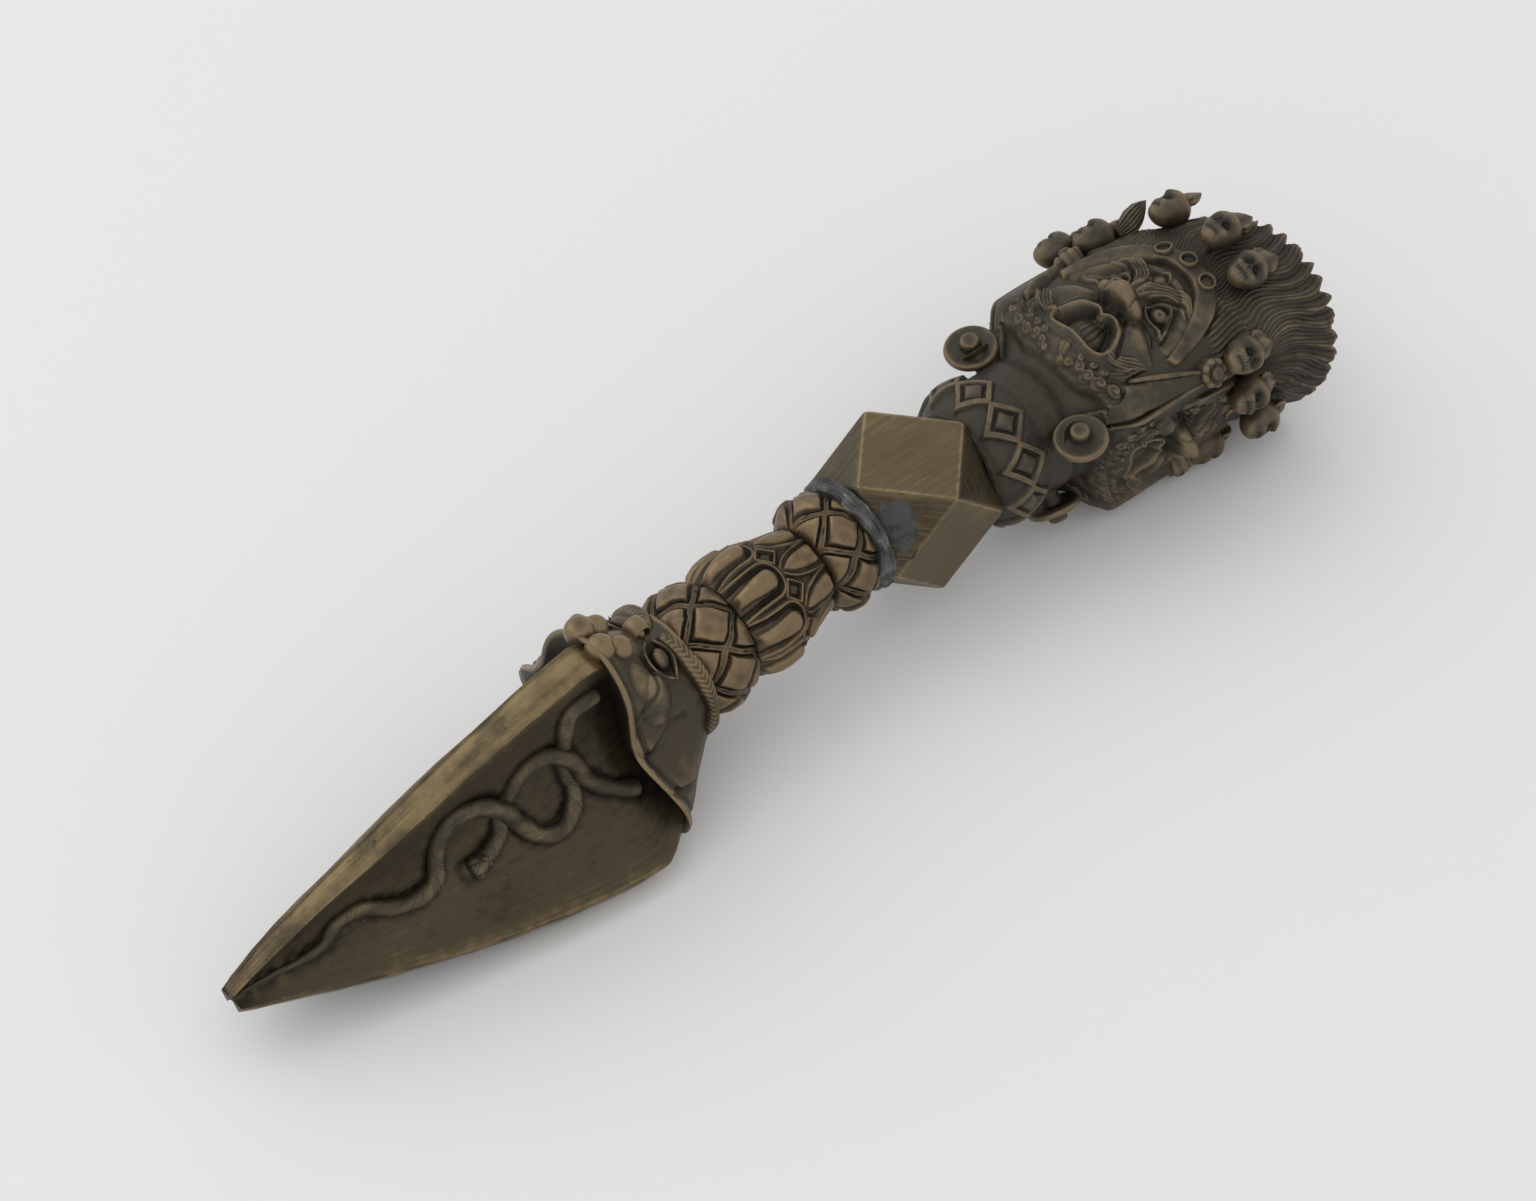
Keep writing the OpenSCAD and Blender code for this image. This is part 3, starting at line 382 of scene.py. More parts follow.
class Body:
    """Gathers grids into one mesh, with patina values worked out from their shape."""

    def __init__(self, casting: Casting) -> None:
        """Starts an empty mesh about the axis of a casting."""
        self.casting = casting
        self.points, self.loops, self.sizes = [], [], []
        self.marks = {"form": [], "edge": [], "hue": [], "flat": []}
        self.count = 0

    def grid(self, points: Array, loop: bool = False, caps: tuple[bool, bool] = (False, False),
             hue: Value = 0.0, outward: Array | None = None, flat: Array | None = None) -> None:
        """Adds a grid of (rows, columns, 3) points.

        Args:
            points: the grid in millimetres, about the casting's axis.
            loop: whether the last column joins the first.
            caps: whether the first and the last row are closed with a fan.
            hue: given patina and wear, with some painted shade and highlight, -1 dark to 1 light, one number
                or one per point.
            outward: (rows, columns, 3) or (3,) directions that are roughly outward.
            flat: two numbers per point for marks that follow the surface.
        """
        rows, columns = points.shape[:2]
        normal = normals_of(points, loop)
        if outward is None:
            outward = points * np.array([1.0, 1.0, 0.0])
        flip = np.nanmean((normal * outward).sum(-1)) < 0
        if flip:
            normal = -normal
        form = ((points - blurred(points, 1.6, loop)) * normal).sum(-1)
        edge = ((points - blurred(points, 0.4, loop)) * normal).sum(-1)
        ids = self.count + np.arange(rows * columns).reshape(rows, columns)
        ahead = np.roll(ids, -1, 1) if loop else ids[:, 1:]
        here = ids if loop else ids[:, :-1]
        quads = np.stack([here[:-1], ahead[:-1], ahead[1:], here[1:]], -1).reshape(-1, 4)
        if flip:
            quads = quads[:, ::-1]
        self.loops.append(quads.ravel())
        self.sizes.append(np.full(len(quads), 4))
        self.points.append(points.reshape(-1, 3))
        flat = np.zeros((rows, columns, 2)) if flat is None else flat
        for key, value in (("form", form), ("edge", edge), ("hue", np.broadcast_to(hue, (rows, columns)))):
            self.marks[key].append(np.asarray(value, float).ravel())
        self.marks["flat"].append(flat.reshape(-1, 2))
        self.count += rows * columns
        for wanted, row in zip(caps, (0, rows - 1)):
            if wanted:
                self._cap(points[row], ids[row], (row == 0) != flip, form[row], hue, row)

    def closed(self, points: Array, hue: Value = 0.0, outward: Array | None = None) -> None:
        """Adds a grid that closes round and at both ends."""
        self.grid(points, loop=True, caps=(True, True), hue=hue, outward=outward)

    def _cap(self, ring: Array, ids: Array, backwards: bool, form: Array, hue: Value, row: int) -> None:
        """Closes one ring with triangles to its middle.

        Args:
            ring: its points.
            ids: their numbers in the mesh.
            backwards: whether the triangles run the other way round.
            form: patina from the form, at each point.
            hue: given patina, with some painted shade and highlight, on the whole grid.
            row: the ring's row in the grid.
        """
        value = hue if np.ndim(hue) == 0 else float(np.asarray(hue)[row].mean())
        self.points.append(ring.mean(0, keepdims=True))
        fan = np.stack([ids, np.roll(ids, -1), np.full(len(ids), self.count)], -1)
        if backwards:
            fan = fan[:, ::-1]
        self.loops.append(fan.ravel())
        self.sizes.append(np.full(len(fan), 3))
        for key, one in (("form", float(form.mean())), ("edge", 0.0), ("hue", value)):
            self.marks[key].append(np.array([one]))
        self.marks["flat"].append(np.zeros((1, 2)))
        self.count += 1

    def finish(self, name: str, finish: "Finish", nodes: Sequence[str]) -> None:
        """Makes the object, gives it its finish and ties it to the frame.

        Args:
            name: name of the piece.
            finish: the finish it takes.
            nodes: CAD nodes it stands for.
        """
        places = self.casting.place(np.concatenate(self.points)).astype(np.float32)
        loops, sizes = np.concatenate(self.loops), np.concatenate(self.sizes)
        mesh = bpy.data.meshes.new(name)
        mesh.vertices.add(len(places))
        mesh.vertices.foreach_set("co", places.ravel())
        mesh.loops.add(len(loops))
        mesh.loops.foreach_set("vertex_index", loops.astype(np.int32))
        mesh.polygons.add(len(sizes))
        mesh.polygons.foreach_set("loop_start", np.concatenate([[0], np.cumsum(sizes)[:-1]]).astype(np.int32))
        mesh.polygons.foreach_set("use_smooth", np.ones(len(sizes), bool))
        mesh.update(calc_edges=True)
        for key in ("form", "edge", "hue"):
            values = np.nan_to_num(np.concatenate(self.marks[key])).astype(np.float32)
            mesh.attributes.new(key, "FLOAT", "POINT").data.foreach_set("value", values)
        flat = np.concatenate(self.marks["flat"]).astype(np.float32)
        flat = np.concatenate([flat, np.zeros((len(flat), 1), np.float32)], 1)
        mesh.attributes.new("flat", "FLOAT_VECTOR", "POINT").data.foreach_set("vector", flat.ravel())
        mesh.validate()
        piece = bpy.data.objects.new(name, mesh)
        bpy.context.scene.collection.objects.link(piece)
        mesh.materials.append(finish.material())
        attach(piece, "root")
        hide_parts(*nodes)
        log.info("%s: %d faces", name, len(sizes))
        return piece


class Graph:
    """Short words for making shader nodes in one tree."""

    def __init__(self, tree: bpy.types.NodeTree) -> None:
        """Works in this tree."""
        self.tree = tree

    def node(self, kind: str, **values: object) -> bpy.types.Node:
        """A node with its properties set.

        Args:
            kind: Blender's name of the node type.
            values: properties to set.

        Returns:
            The node.
        """
        made = self.tree.nodes.new(kind)
        for key, value in values.items():
            setattr(made, key, value)
        return made

    def put(self, socket: bpy.types.NodeSocket, value: Feed) -> None:
        """Joins a socket to another one, or sets it to a constant."""
        if isinstance(value, bpy.types.NodeSocket):
            self.tree.links.new(value, socket)
        elif isinstance(value, (tuple, list)) and len(value) == 3 and socket.type == "RGBA":
            socket.default_value = (*value, 1.0)
        else:
            socket.default_value = value

    def math(self, operation: str, a: Feed, b: Feed = 0.0, clamp: bool = False) -> Socket:
        """One sum of two values.

        Args:
            operation: Blender's name of the sum.
            a, b: the values.
            clamp: whether to keep it from 0 to 1.

        Returns:
            The result's socket.
        """
        made = self.node("ShaderNodeMath", operation=operation, use_clamp=clamp)
        self.put(made.inputs[0], a)
        self.put(made.inputs[1], b)
        return made.outputs[0]

    def times(self, a: Feed, b: Feed) -> Socket:
        """Product of two values."""
        return self.math("MULTIPLY", a, b)

    def total(self, *terms: Feed) -> Socket:
        """Sum of several values.

        Args:
            terms: what is added.

        Returns:
            The sum's socket.
        """
        out = terms[0]
        for term in terms[1:]:
            out = self.math("ADD", out, term)
        return out

    def noise(self, vector: Socket, scale: float, detail: float = 3.0, rough: float = 0.55) -> Socket:
        """Noise about 0, from -0.5 to 0.5.

        Args:
            vector: place on the surface.
            scale: waves to a unit of place.
            detail: finer layers.
            rough: weight of the finer layers.

        Returns:
            The noise's socket.
        """
        made = self.node("ShaderNodeTexNoise")
        self.put(made.inputs["Vector"], vector)
        self.put(made.inputs["Scale"], scale)
        made.inputs["Detail"].default_value = detail
        made.inputs["Roughness"].default_value = rough
        return self.math("SUBTRACT", made.outputs["Fac"], 0.5)

    def scale(self, vector: Socket, factors: Feed) -> Socket:
        """Vector times three factors.

        Args:
            vector: the vector.
            factors: the factors.

        Returns:
            The product's socket.
        """
        made = self.node("ShaderNodeVectorMath", operation="MULTIPLY")
        self.put(made.inputs[0], vector)
        self.put(made.inputs[1], factors)
        return made.outputs[0]

    def mix(self, factor: Socket, a: Feed, b: Feed) -> Socket:
        """Colour between two others.

        Args:
            factor: 0 for a, 1 for b.
            a, b: the colours.

        Returns:
            The colour's socket.
        """
        made = self.node("ShaderNodeMix", data_type="RGBA")
        self.put(made.inputs[0], factor)
        self.put(made.inputs[6], a)
        self.put(made.inputs[7], b)
        return made.outputs[2]

    def ramp(self, value: Socket, low: float, high: float) -> Socket:
        """Smooth step of a value.

        Args:
            value: the value.
            low, high: where the step starts and ends.

        Returns:
            Its socket, from 0 to 1.
        """
        made = self.node("ShaderNodeMapRange", interpolation_type="SMOOTHSTEP")
        for key, one in (("Value", value), ("From Min", low), ("From Max", high)):
            self.put(made.inputs[key], one)
        return made.outputs["Result"]


PATINA_AND_LIGHT_INPUTS = {
    "Vector": (0, 0, 0), "Flat": (0, 0, 0), "Form": 0.0, "Edge": 0.0, "Hue": 0.0,
    "Recess": (0.02, 0.02, 0.01, 1), "Body": (0.1, 0.08, 0.05, 1), "Worn": (0.4, 0.3, 0.15, 1),
    "Form Gain": 1.0, "Edge Gain": 1.0, "Mottle": 0.5, "Bias": 0.0, "Rough Dark": 0.6,
    "Rough Worn": 0.35, "Stretch": (1, 1, 1), "Grain": 0.2, "Pits": 0.3}
PATINA_AND_LIGHT_OUTPUTS = {"Color": "Color", "Roughness": "Float", "Height": "Float"}
SOCKET_KINDS = {0: "Float", 3: "Vector", 4: "Color"}  # by how many numbers the default has
HUE_GAIN = 0.65  # how much the given patina, wear, painted shade and painted highlight count against form, edge and noise


def patina_and_painted_light_group() -> bpy.types.NodeTree:
    """Node group that turns shape and place into colour, roughness and height of old brass.

    The value is laid patina and wear, with some painted shade and highlight, plus how far a point
    stands out of its surroundings, plus noise. Below 0 it darkens to the recess colour and above 0 it
    goes to the worn colour.

    Returns:
        The group, made once.
    """
    old = bpy.data.node_groups.get("Patina")
    if old:
        return old
    tree = bpy.data.node_groups.new("Patina", "ShaderNodeTree")
    for name, value in PATINA_AND_LIGHT_INPUTS.items():
        kind = "NodeSocket" + SOCKET_KINDS[len(value) if isinstance(value, tuple) else 0]
        socket = tree.interface.new_socket(name, in_out="INPUT", socket_type=kind)
        socket.default_value = value
    for name, kind in PATINA_AND_LIGHT_OUTPUTS.items():
        tree.interface.new_socket(name, in_out="OUTPUT", socket_type="NodeSocket" + kind)
    g = Graph(tree)
    given = g.node("NodeGroupInput").outputs
    out = g.node("NodeGroupOutput").inputs
    place = g.scale(given["Vector"], (1000.0, 1000.0, 1000.0))
    broad, middle = g.noise(place, 0.09), g.noise(place, 0.55, 4.0)
    fine = g.noise(place, 3.2, 2.0)
    grain = g.noise(g.scale(given["Flat"], given["Stretch"]), 1.0, 4.0, 0.7)
    scratch = g.ramp(g.noise(g.scale(given["Flat"], given["Stretch"]), 0.45, 1.0), 0.16, 0.2)
    value = g.total(
        g.times(given["Hue"], HUE_GAIN), given["Bias"],
        g.times(given["Form"], given["Form Gain"]),
        g.times(given["Edge"], given["Edge Gain"]),
        g.times(broad, given["Mottle"]),
        g.times(middle, given["Mottle"]),
        g.times(grain, given["Grain"]),
        g.times(fine, 0.25),
    )
    dark = g.ramp(g.times(value, -1.0), 0.0, 1.0)
    light = g.ramp(value, 0.0, 1.0)
    colour = g.mix(dark, given["Body"], given["Recess"])
    colour = g.mix(light, colour, given["Worn"])
    pit = g.times(g.ramp(g.noise(place, 1.1, 2.0), 0.2, 0.27), given["Pits"])
    colour = g.mix(g.math("MULTIPLY", pit, 0.85, clamp=True), colour, given["Recess"])
    g.put(out["Color"], colour)
    rough = g.mix(light, given["Rough Dark"], given["Rough Worn"])
    g.put(out["Roughness"], g.total(rough, g.times(fine, 0.16), g.times(middle, 0.14)))
    height = g.total(
        g.times(middle, 0.35), g.times(fine, 0.1),
        g.times(grain, g.times(given["Grain"], 0.35)),
        g.times(scratch, g.times(given["Grain"], -0.12)),
        g.times(pit, -0.4),
    )
    g.put(out["Height"], height)
    return tree


@dataclass(frozen=True)
class Finish:
    """One surface finish: colours are linear, grain is how far marks run along the surface."""

    slot: str
    recess: Triple
    body: Triple
    worn: Triple
    metallic: float = 0.8
    rough_dark: float = 0.52
    rough_worn: float = 0.34
    form_gain: float = 1.6
    edge_gain: float = 4.0
    mottle: float = 0.9
    bias: float = 0.0
    stretch: Triple = (0.35, 2.6, 1.0)
    grain: float = 0.0
    pits: float = 0.2
    bump: float = 0.25

    def material(self) -> bpy.types.Material:
        """Material of this finish: its values on the group of patina and painted light, and a bump from the
        group's height.

        Returns:
            The material, made once.
        """
        name = self.slot + "_surface"
        old = bpy.data.materials.get(name)
        if old:
            return old
        made = bpy.data.materials.new(name)
        made.use_nodes = True
        g = Graph(made.node_tree)
        shader = made.node_tree.nodes["Principled BSDF"]
        group = g.node("ShaderNodeGroup")
        group.node_tree = patina_and_painted_light_group()
        g.put(group.inputs["Vector"], g.node("ShaderNodeTexCoord").outputs["Object"])
        g.put(group.inputs["Flat"], g.node("ShaderNodeAttribute", attribute_name="flat").outputs["Vector"])
        for key in ("form", "edge", "hue"):
            mark = g.node("ShaderNodeAttribute", attribute_name=key)
            g.put(group.inputs[key.capitalize()], mark.outputs["Fac"])
        for field in fields(self):
            label = field.name.replace("_", " ").title()
            if label in group.inputs:
                g.put(group.inputs[label], getattr(self, field.name))
        bump = g.node("ShaderNodeBump")
        bump.inputs["Strength"].default_value = 1.0
        bump.inputs["Distance"].default_value = self.bump * MM
        g.put(bump.inputs["Height"], group.outputs["Height"])
        g.put(shader.inputs["Base Color"], group.outputs["Color"])
        g.put(shader.inputs["Roughness"], group.outputs["Roughness"])
        g.put(shader.inputs["Normal"], bump.outputs["Normal"])
        shader.inputs["Metallic"].default_value = self.metallic
        return made


DARK = (0.019, 0.0165, 0.012)
OLIVE = (0.047, 0.0405, 0.029)
GOLD = (0.16, 0.118, 0.068)
HEAD_BRASS = Finish(
    "patinated_brass", DARK, OLIVE, GOLD, metallic=0.55, form_gain=0.75, edge_gain=2.2, mottle=1.1,
    rough_dark=0.5, rough_worn=0.38, bump=0.35)
MASK_BRASS = Finish(
    "mask_brass", DARK, (0.058, 0.046, 0.029), (0.21, 0.152, 0.082), metallic=0.65, form_gain=0.9,
    edge_gain=2.5, rough_dark=0.46, rough_worn=0.34)
GRIP_BRASS = Finish(
    "grip_brass", (0.02, 0.016, 0.011), (0.075, 0.055, 0.034), (0.2, 0.142, 0.078), metallic=0.75,
    form_gain=0.9, edge_gain=3.0, mottle=1.3, rough_dark=0.46, rough_worn=0.32, bump=0.35)
BLADE_BRASS = Finish(
    "blade_brass", (0.02, 0.016, 0.0105), (0.07, 0.054, 0.031), (0.22, 0.16, 0.078), metallic=0.7,
    form_gain=0.5, edge_gain=1.5, grain=1.2, stretch=(0.035, 1.1, 1.0), pits=0.9, rough_dark=0.46,
    rough_worn=0.36)
SNAKE_BRASS = Finish(
    "snake_brass", DARK, (0.055, 0.045, 0.029), (0.17, 0.128, 0.07), metallic=0.6, form_gain=0.5,
    edge_gain=2.0)
BLOCK_BRASS = Finish(
    "block_brass", (0.045, 0.035, 0.021), (0.13, 0.1, 0.055), (0.3, 0.228, 0.12), metallic=0.8,
    form_gain=0.2, edge_gain=1.0, mottle=0.7, grain=1.8, stretch=(0.06, 1.5, 1.0), rough_dark=0.48,
    rough_worn=0.34, pits=0.4)
SOLDER = Finish(
    "solder", (0.032, 0.031, 0.03), (0.075, 0.074, 0.074), (0.17, 0.17, 0.172), metallic=0.75,
    rough_dark=0.52, rough_worn=0.34, form_gain=0.8, edge_gain=2.0, mottle=2.2, pits=0.6, bump=0.5)


class Piece:
    """A named part of the dagger that builds one or more objects."""

    def build(self) -> None:
        """Makes the objects."""
        raise NotImplementedError


# --- Blade ---------------------------------------------------------------------------------------

# Distances from the solder joint down the axis, then radii and widths of a fin.
T_KNOT, T_MASK, T_ROOT, T_MOUTH, T_SHOULDER, T_TIP = 30.6, 42.6, 52.1, 62.1, 65.1, 139.1
FIN, ROOT, TIP, EDGE, WEB = 26.0, 16.0, 2.4, 6.0, 8.6
LEAN = (7.0, 0.0, -11.0)  # degrees that each fin leans sideways
LEAN_FADE = 29.6  # over this length the lean dies out toward the tip


def fin_radius(t: Value) -> Array:
    """Radius of a fin: a long bow to the tip, a short one to the root, each a power of the distance.

    Args:
        t: distance down the axis.

    Returns:
        The radius.
    """
    t = np.asarray(t, float)
    past = np.clip((t - T_SHOULDER) / (T_TIP - T_SHOULDER), 0, 1)
    before = np.clip((T_SHOULDER - t) / 13, 0, None)
    return np.where(t > T_SHOULDER, TIP + (FIN - TIP) * (1 - past**1.45), FIN - (FIN - ROOT) * before**1.3)


def half_edge(t: Value) -> Array:
    """Half width of a fin's outer edge, which narrows with the fin."""
    return EDGE / 2 * np.minimum(1, 0.35 + 0.65 * fin_radius(t) / FIN)


def spread(k: int, angle: Value, t: Value) -> Array:
    """Angle laid between the fins that bound a hollow, which lean a little near the root.

    Args:
        k: number of the hollow.
        angle: 0 to 120 across it.
        t: distance down the axis.

    Returns:
        Angle round the blade.
    """
    fade = np.clip((T_TIP - t) / LEAN_FADE, 0, 1)
    a, b = LEAN[k % 3] * fade, LEAN[(k + 1) % 3] * fade
    return 120 * k + a + angle * (1 + (b - a) / 120)


def hollow(t: Value, w: Value, grow: float = 0.0) -> Pair:
    """Section of a hollow: a quadratic curve from fin to trough, mirrored about the trough.

    Args:
        t: distance down the axis.
        w: place across, from -1 to 1.
        grow: how far outside the surface.

    Returns:
        Radius and angle.
    """
    reach = fin_radius(t) + grow
    half = half_edge(t) + grow
    web = WEB * fin_radius(t) / FIN + grow
    s = 1 - np.abs(w)
    x1, y1 = web * 0.5 + 0.36 * reach * math.cos(30 * DEG), web * math.sqrt(0.75) - 0.18 * reach
    x = (1 - s) ** 2 * reach + 2 * s * (1 - s) * x1 + s * s * web * 0.5
    y = (1 - s) ** 2 * half + 2 * s * (1 - s) * y1 + s * s * web * math.sqrt(0.75)
    c, d = math.cos(120 * DEG), math.sin(120 * DEG)
    x, y = np.where(w < 0, x, x * c + y * d), np.where(w < 0, y, x * d - y * c)
    return np.hypot(x, y), np.degrees(np.arctan2(y, x))


def hollow_point(k: int, t: Value, w: Value, grow: float = 0.0) -> Array:
    """Point on the blade across hollow k."""
    r, a = hollow(t, w, grow)
    return polar(r, spread(k, a, t), -t)


# Points of a snake: distance past the shoulder, place across the hollow from -1 to 1, height.
LONG_SNAKE = (
    (72.6, -0.24, 0), (62.4, 0.06, 0), (56.9, 0, 0), (53.8, -0.28, 0), (49.3, -0.23, 0), (44, 0.12, 0),
    (39.1, 0.21, 0), (35.3, 0.08, 0), (33.7, -0.28, 0), (30.7, -0.57, 0), (25.4, -0.52, 0.5),
    (21.2, -0.29, 1.5), (18.5, 0.08, 0.3), (16.3, 0.3, 0), (12.6, 0.37, 0), (8.7, 0.25, 0),
    (6.9, 0.05, -0.5), (7.2, -0.21, -0.6), (6, -0.56, 0), (4.5, -0.74, 0), (-0.5, -0.73, 0))
SHORT_SNAKE = (
    (-3, 0.46, 0), (1.3, 0.29, 0), (4.7, 0.07, 0.8), (6.3, -0.25, 1.5), (9.9, -0.45, 0.4),
    (14.7, -0.48, 0), (18.2, -0.31, -0.5), (20.6, -0.19, -0.6), (22.4, 0.06, -0.2), (26.8, 0.22, 0),
    (29.8, 0.25, 0))
SNAKE_WIDTH, SNAKE_RISE = 3.2, 1.7


@dataclass
class Blade(Piece):
    """Three hollow-sided fins, the hollows slightly cut back beside the snakes."""

    tip_rows: int = 92
    root_rows: int = 104
    columns: int = 150  # across each hollow
    thick_row: int = 120  # row whose girth carries the brush marks

    def build(self) -> None:
        """Three edges and three hollows side by side, as one closed grid."""
        toward_tip = np.linspace(T_TIP, 100, self.tip_rows)
        rows = np.concatenate([toward_tip, np.linspace(99.6, T_ROOT, self.root_rows)])[:, None]
        even = np.linspace(-1, 1, self.columns)
        across = np.sin(even * np.pi / 2)[None, :] * 0.6 + even[None, :] * 0.4
        parts, hues = [], []
        for k in range(3):
            points = hollow_point(k, rows, across)
            cut, hue = self.marks(k, rows, across, points)
            r = np.hypot(points[..., 0], points[..., 1])
            points[..., :2] *= ((r - cut) / r)[..., None]
            edge, edge_hue = self.edge(k, rows)
            parts += [edge, points]
            hues += [edge_hue, hue]
        points = np.concatenate(parts, 1)
        hue = np.concatenate(hues, 1)
        around = run_along(points[self.thick_row])
        flat = np.stack(np.broadcast_arrays(-points[..., 2], around[None, :]), -1)
        body = Body(LOWER)
        body.grid(points, loop=True, caps=(True, True), hue=hue, flat=flat)
        body.finish("blade_casting", BLADE_BRASS, ["blade"])

    @staticmethod
    def marks(k: int, t: Array, w: Array, points: Array) -> Pair:
        """Cut beside the snakes, a Gauss curve of the distance from them, and patina, with painted shade
        where the blade comes out of the mask's mouth.

        Args:
            k: number of the hollow.
            t: distance down the axis.
            w: place across.
            points: the hollow's points.

        Returns:
            Depth cut away, and patina with painted shade by the mask's mouth.
        """
        run = np.broadcast_to(t - T_SHOULDER, points.shape[:2])
        gap = np.full(points.shape[:2], 1e9)
        for path in (LONG_SNAKE, SHORT_SNAKE):
            line = curve(path, 4)
            nodes = hollow_point(k, T_SHOULDER + line[:, 0], line[:, 1])
            for p in nodes[::2]:
                gap = np.minimum(gap, ((points - p) ** 2).sum(-1))
        gap = np.sqrt(gap)
        cut = 0.35 * hump(gap, 1.5, 1.0)
        rim = smooth((np.abs(w) - 0.8) / 0.2)
        hue = 0.55 * rim - 0.75 * hump(gap, 1.7, 0.9) - 0.2 * (1 - rim)
        # painted shade on the blade just past the shoulder, below the mask's rim; also a little darker over
        # the first 40 mm past the shoulder
        hue = hue - 0.35 * smooth((6 - run) / 8) - 0.15 * smooth((40 - run) / 30)
        hue = hue + 0.3 * ripple(run, w * 20, 22, 5 + k)
        cut = cut + 0.06 * ripple(run, w * 20, 9, 11 + k)
        return cut, hue

    @staticmethod
    def edge(k: int, t: Array) -> Pair:
        """Outer edge of a fin, slightly rounded, from its corner in the last hollow to this one's.

        Args:
            k: number of the fin.
            t: distance down the axis.

        Returns:
            Points and patina.
        """
        v = np.linspace(-0.97, 0.97, 13)[None, :]
        reach, half = fin_radius(t), half_edge(t)
        x = reach + 0.1 * half * (1 - v * v) - 0.12 * np.abs(v) ** 8
        y = half * v
        lean = LEAN[k % 3] * np.clip((T_TIP - t) / LEAN_FADE, 0, 1)
        run = np.broadcast_to(t - T_SHOULDER, x.shape)
        x = x + 0.07 * ripple(run, y, 11, 3 + k)
        hue = 0.62 + 0.35 * ripple(run, y * 3, 14, 31 + k) - 0.2 * np.abs(v) ** 4
        return polar(np.hypot(x, y), np.degrees(np.arctan2(y, x)) + 120 * k + lean, -t), hue


@dataclass
class Snake(Piece):
    """A rounded body that lies on one hollow, with scratched nicks across it."""

    name: str
    hollow: int
    path: Path
    head: bool = False
    steps: int = 22

    def build(self) -> None:
        """A low arch carried along the path on its hollow."""
        line = curve(self.path, self.steps)
        count = len(line)
        share = np.linspace(0, 1, count)
        t = T_SHOULDER + line[:, 0]
        spine = hollow_point(self.hollow, t, line[:, 1])
        one, other = (hollow_point(self.hollow, t, line[:, 1] + step) for step in (0.02, -0.02))
        side = one - other
        up = np.stack([side[:, 1], -side[:, 0], np.zeros(count)], -1)
        ahead = np.gradient(spine, axis=0)
        ahead /= np.linalg.norm(ahead, axis=1, keepdims=True)
        up -= (up * ahead).sum(1, keepdims=True) * ahead
        up /= np.linalg.norm(up, axis=1, keepdims=True)
        across = np.cross(ahead, up)
        run = run_along(spine)
        if self.head:
            width = np.interp(share, [0, 0.84, 0.9, 0.95, 0.985, 1], [1, 0.95, 1.1, 1.3, 1.0, 0.55])
        else:
            width = np.interp(share, [0, 0.03, 0.12, 0.3, 1], [0.12, 0.35, 0.72, 1, 1])
        a = np.linspace(-0.5, 0.5, 29)[None, :] * np.pi * 1.16
        half = (width * SNAKE_WIDTH / 2)[:, None]
        ripple_along = 1 + 0.05 * np.sin(run * 1.1)[:, None]
        x = half * np.sin(a) * ripple_along
        y = SNAKE_RISE * width[:, None] * (np.cos(a) * 0.92 + 0.1)
        nick = self.nicks(run[:, None], x)
        y = y - nick
        if self.head:
            y = y + self.face(run[-1] - run[:, None], x)
        points = (spine + up * line[:, 2:3])[:, None] + across[:, None] * x[..., None]
        points = points + up[:, None] * y[..., None]
        hue = 0.25 * np.cos(a) - 0.25 - 2.4 * nick + 0.3 * ripple(run[:, None], x * 4, 12, 7)
        flat = np.stack(np.broadcast_arrays(run[:, None], x), -1)
        body = Body(LOWER)
        outward = np.broadcast_to(up[:, None], points.shape)
        body.grid(points, hue=hue, outward=outward, flat=flat, caps=(True, True))
        body.finish(self.name, SNAKE_BRASS, [self.name])

    @staticmethod
    def nicks(run: Array, x: Array) -> Array:
        """Short slanting scratches in twos and threes: Gauss grooves, shifted by a sine from group to
        group.

        Args:
            run, x: distance along the body and across it.

        Returns:
            Depth of the scratches.
        """
        phase, pitch = run + 0.9 * x, 4.6
        cell = np.floor(phase / pitch)
        where = phase - cell * pitch
        jitter = np.sin(cell * 12.9898) * 1.1
        lines = sum(hump(where - at, jitter, 0.13) for at in (1.6, 2.3, 3.1))
        return 0.16 * lines * smooth((1.5 - np.abs(x)) / 0.5)

    @staticmethod
    def face(back: Array, x: Array) -> Array:
        """Eyes, brow and mouth slit of a snake's head, as Gauss bells.

        Args:
            back, x: distance from the nose, and across.

        Returns:
            Height over the body.
        """
        eyes = sum(bell(back, x, 3.3, s * 0.85, 0.42, 0.42) for s in (-1, 1))
        ring = sum(hump(np.hypot(back - 3.3, x - s * 0.85), 0.62, 0.16) for s in (-1, 1))
        slit = bell(back, np.abs(x), 0.8, 1.25, 1.3, 0.2)
        return 0.28 * eyes - 0.25 * ring - 0.35 * slit


# --- Mask, knots and lotus -----------------------------------------------------------------------


MASK_LENGTH = LOTUS_LENGTH = 19.5
MASK_ARC = 0.2443  # millimetres in a degree round the mask
HEAD_ARC = 0.2618  # and round the head


def lobe(angle: Value) -> Array:
    """One at each fin and zero in the troughs: a raised cosine to a power."""
    return ((1 + np.cos(3 * angle * DEG)) / 2) ** 1.2


def mouth_drop(angle: Value) -> Array:
    """How much further back the mouth is over the two lower fins."""
    return 4 * lobe(angle) * (1 - smooth(2 * np.cos(angle * DEG) - 0.6))


def mask_radius(u: Value, angle: Value) -> Array:
    """Radius of the mask without its features: a cone that grows three lobes, with a belly.

    Args:
        u: from 0 at the knot to 1 at the mouth.
        angle: angle round.

    Returns:
        The radius.
    """
    fin = fin_radius(T_MOUTH - mouth_drop(angle))
    belly = 1.8 * bell(u, np.cos(3 * angle * DEG), 0.6, 0.1, 0.24, 0.5)
    return 11.6 + 2.4 * u + (fin + 2.2 - 14) * u**1.3 * lobe(angle) + belly


def shell_radius(angle: Value, z: Value) -> Array:
    """Radius of the mask's shell at a height."""
    return mask_radius(np.clip((-z - T_MASK) / MASK_LENGTH, 0, 1), angle)


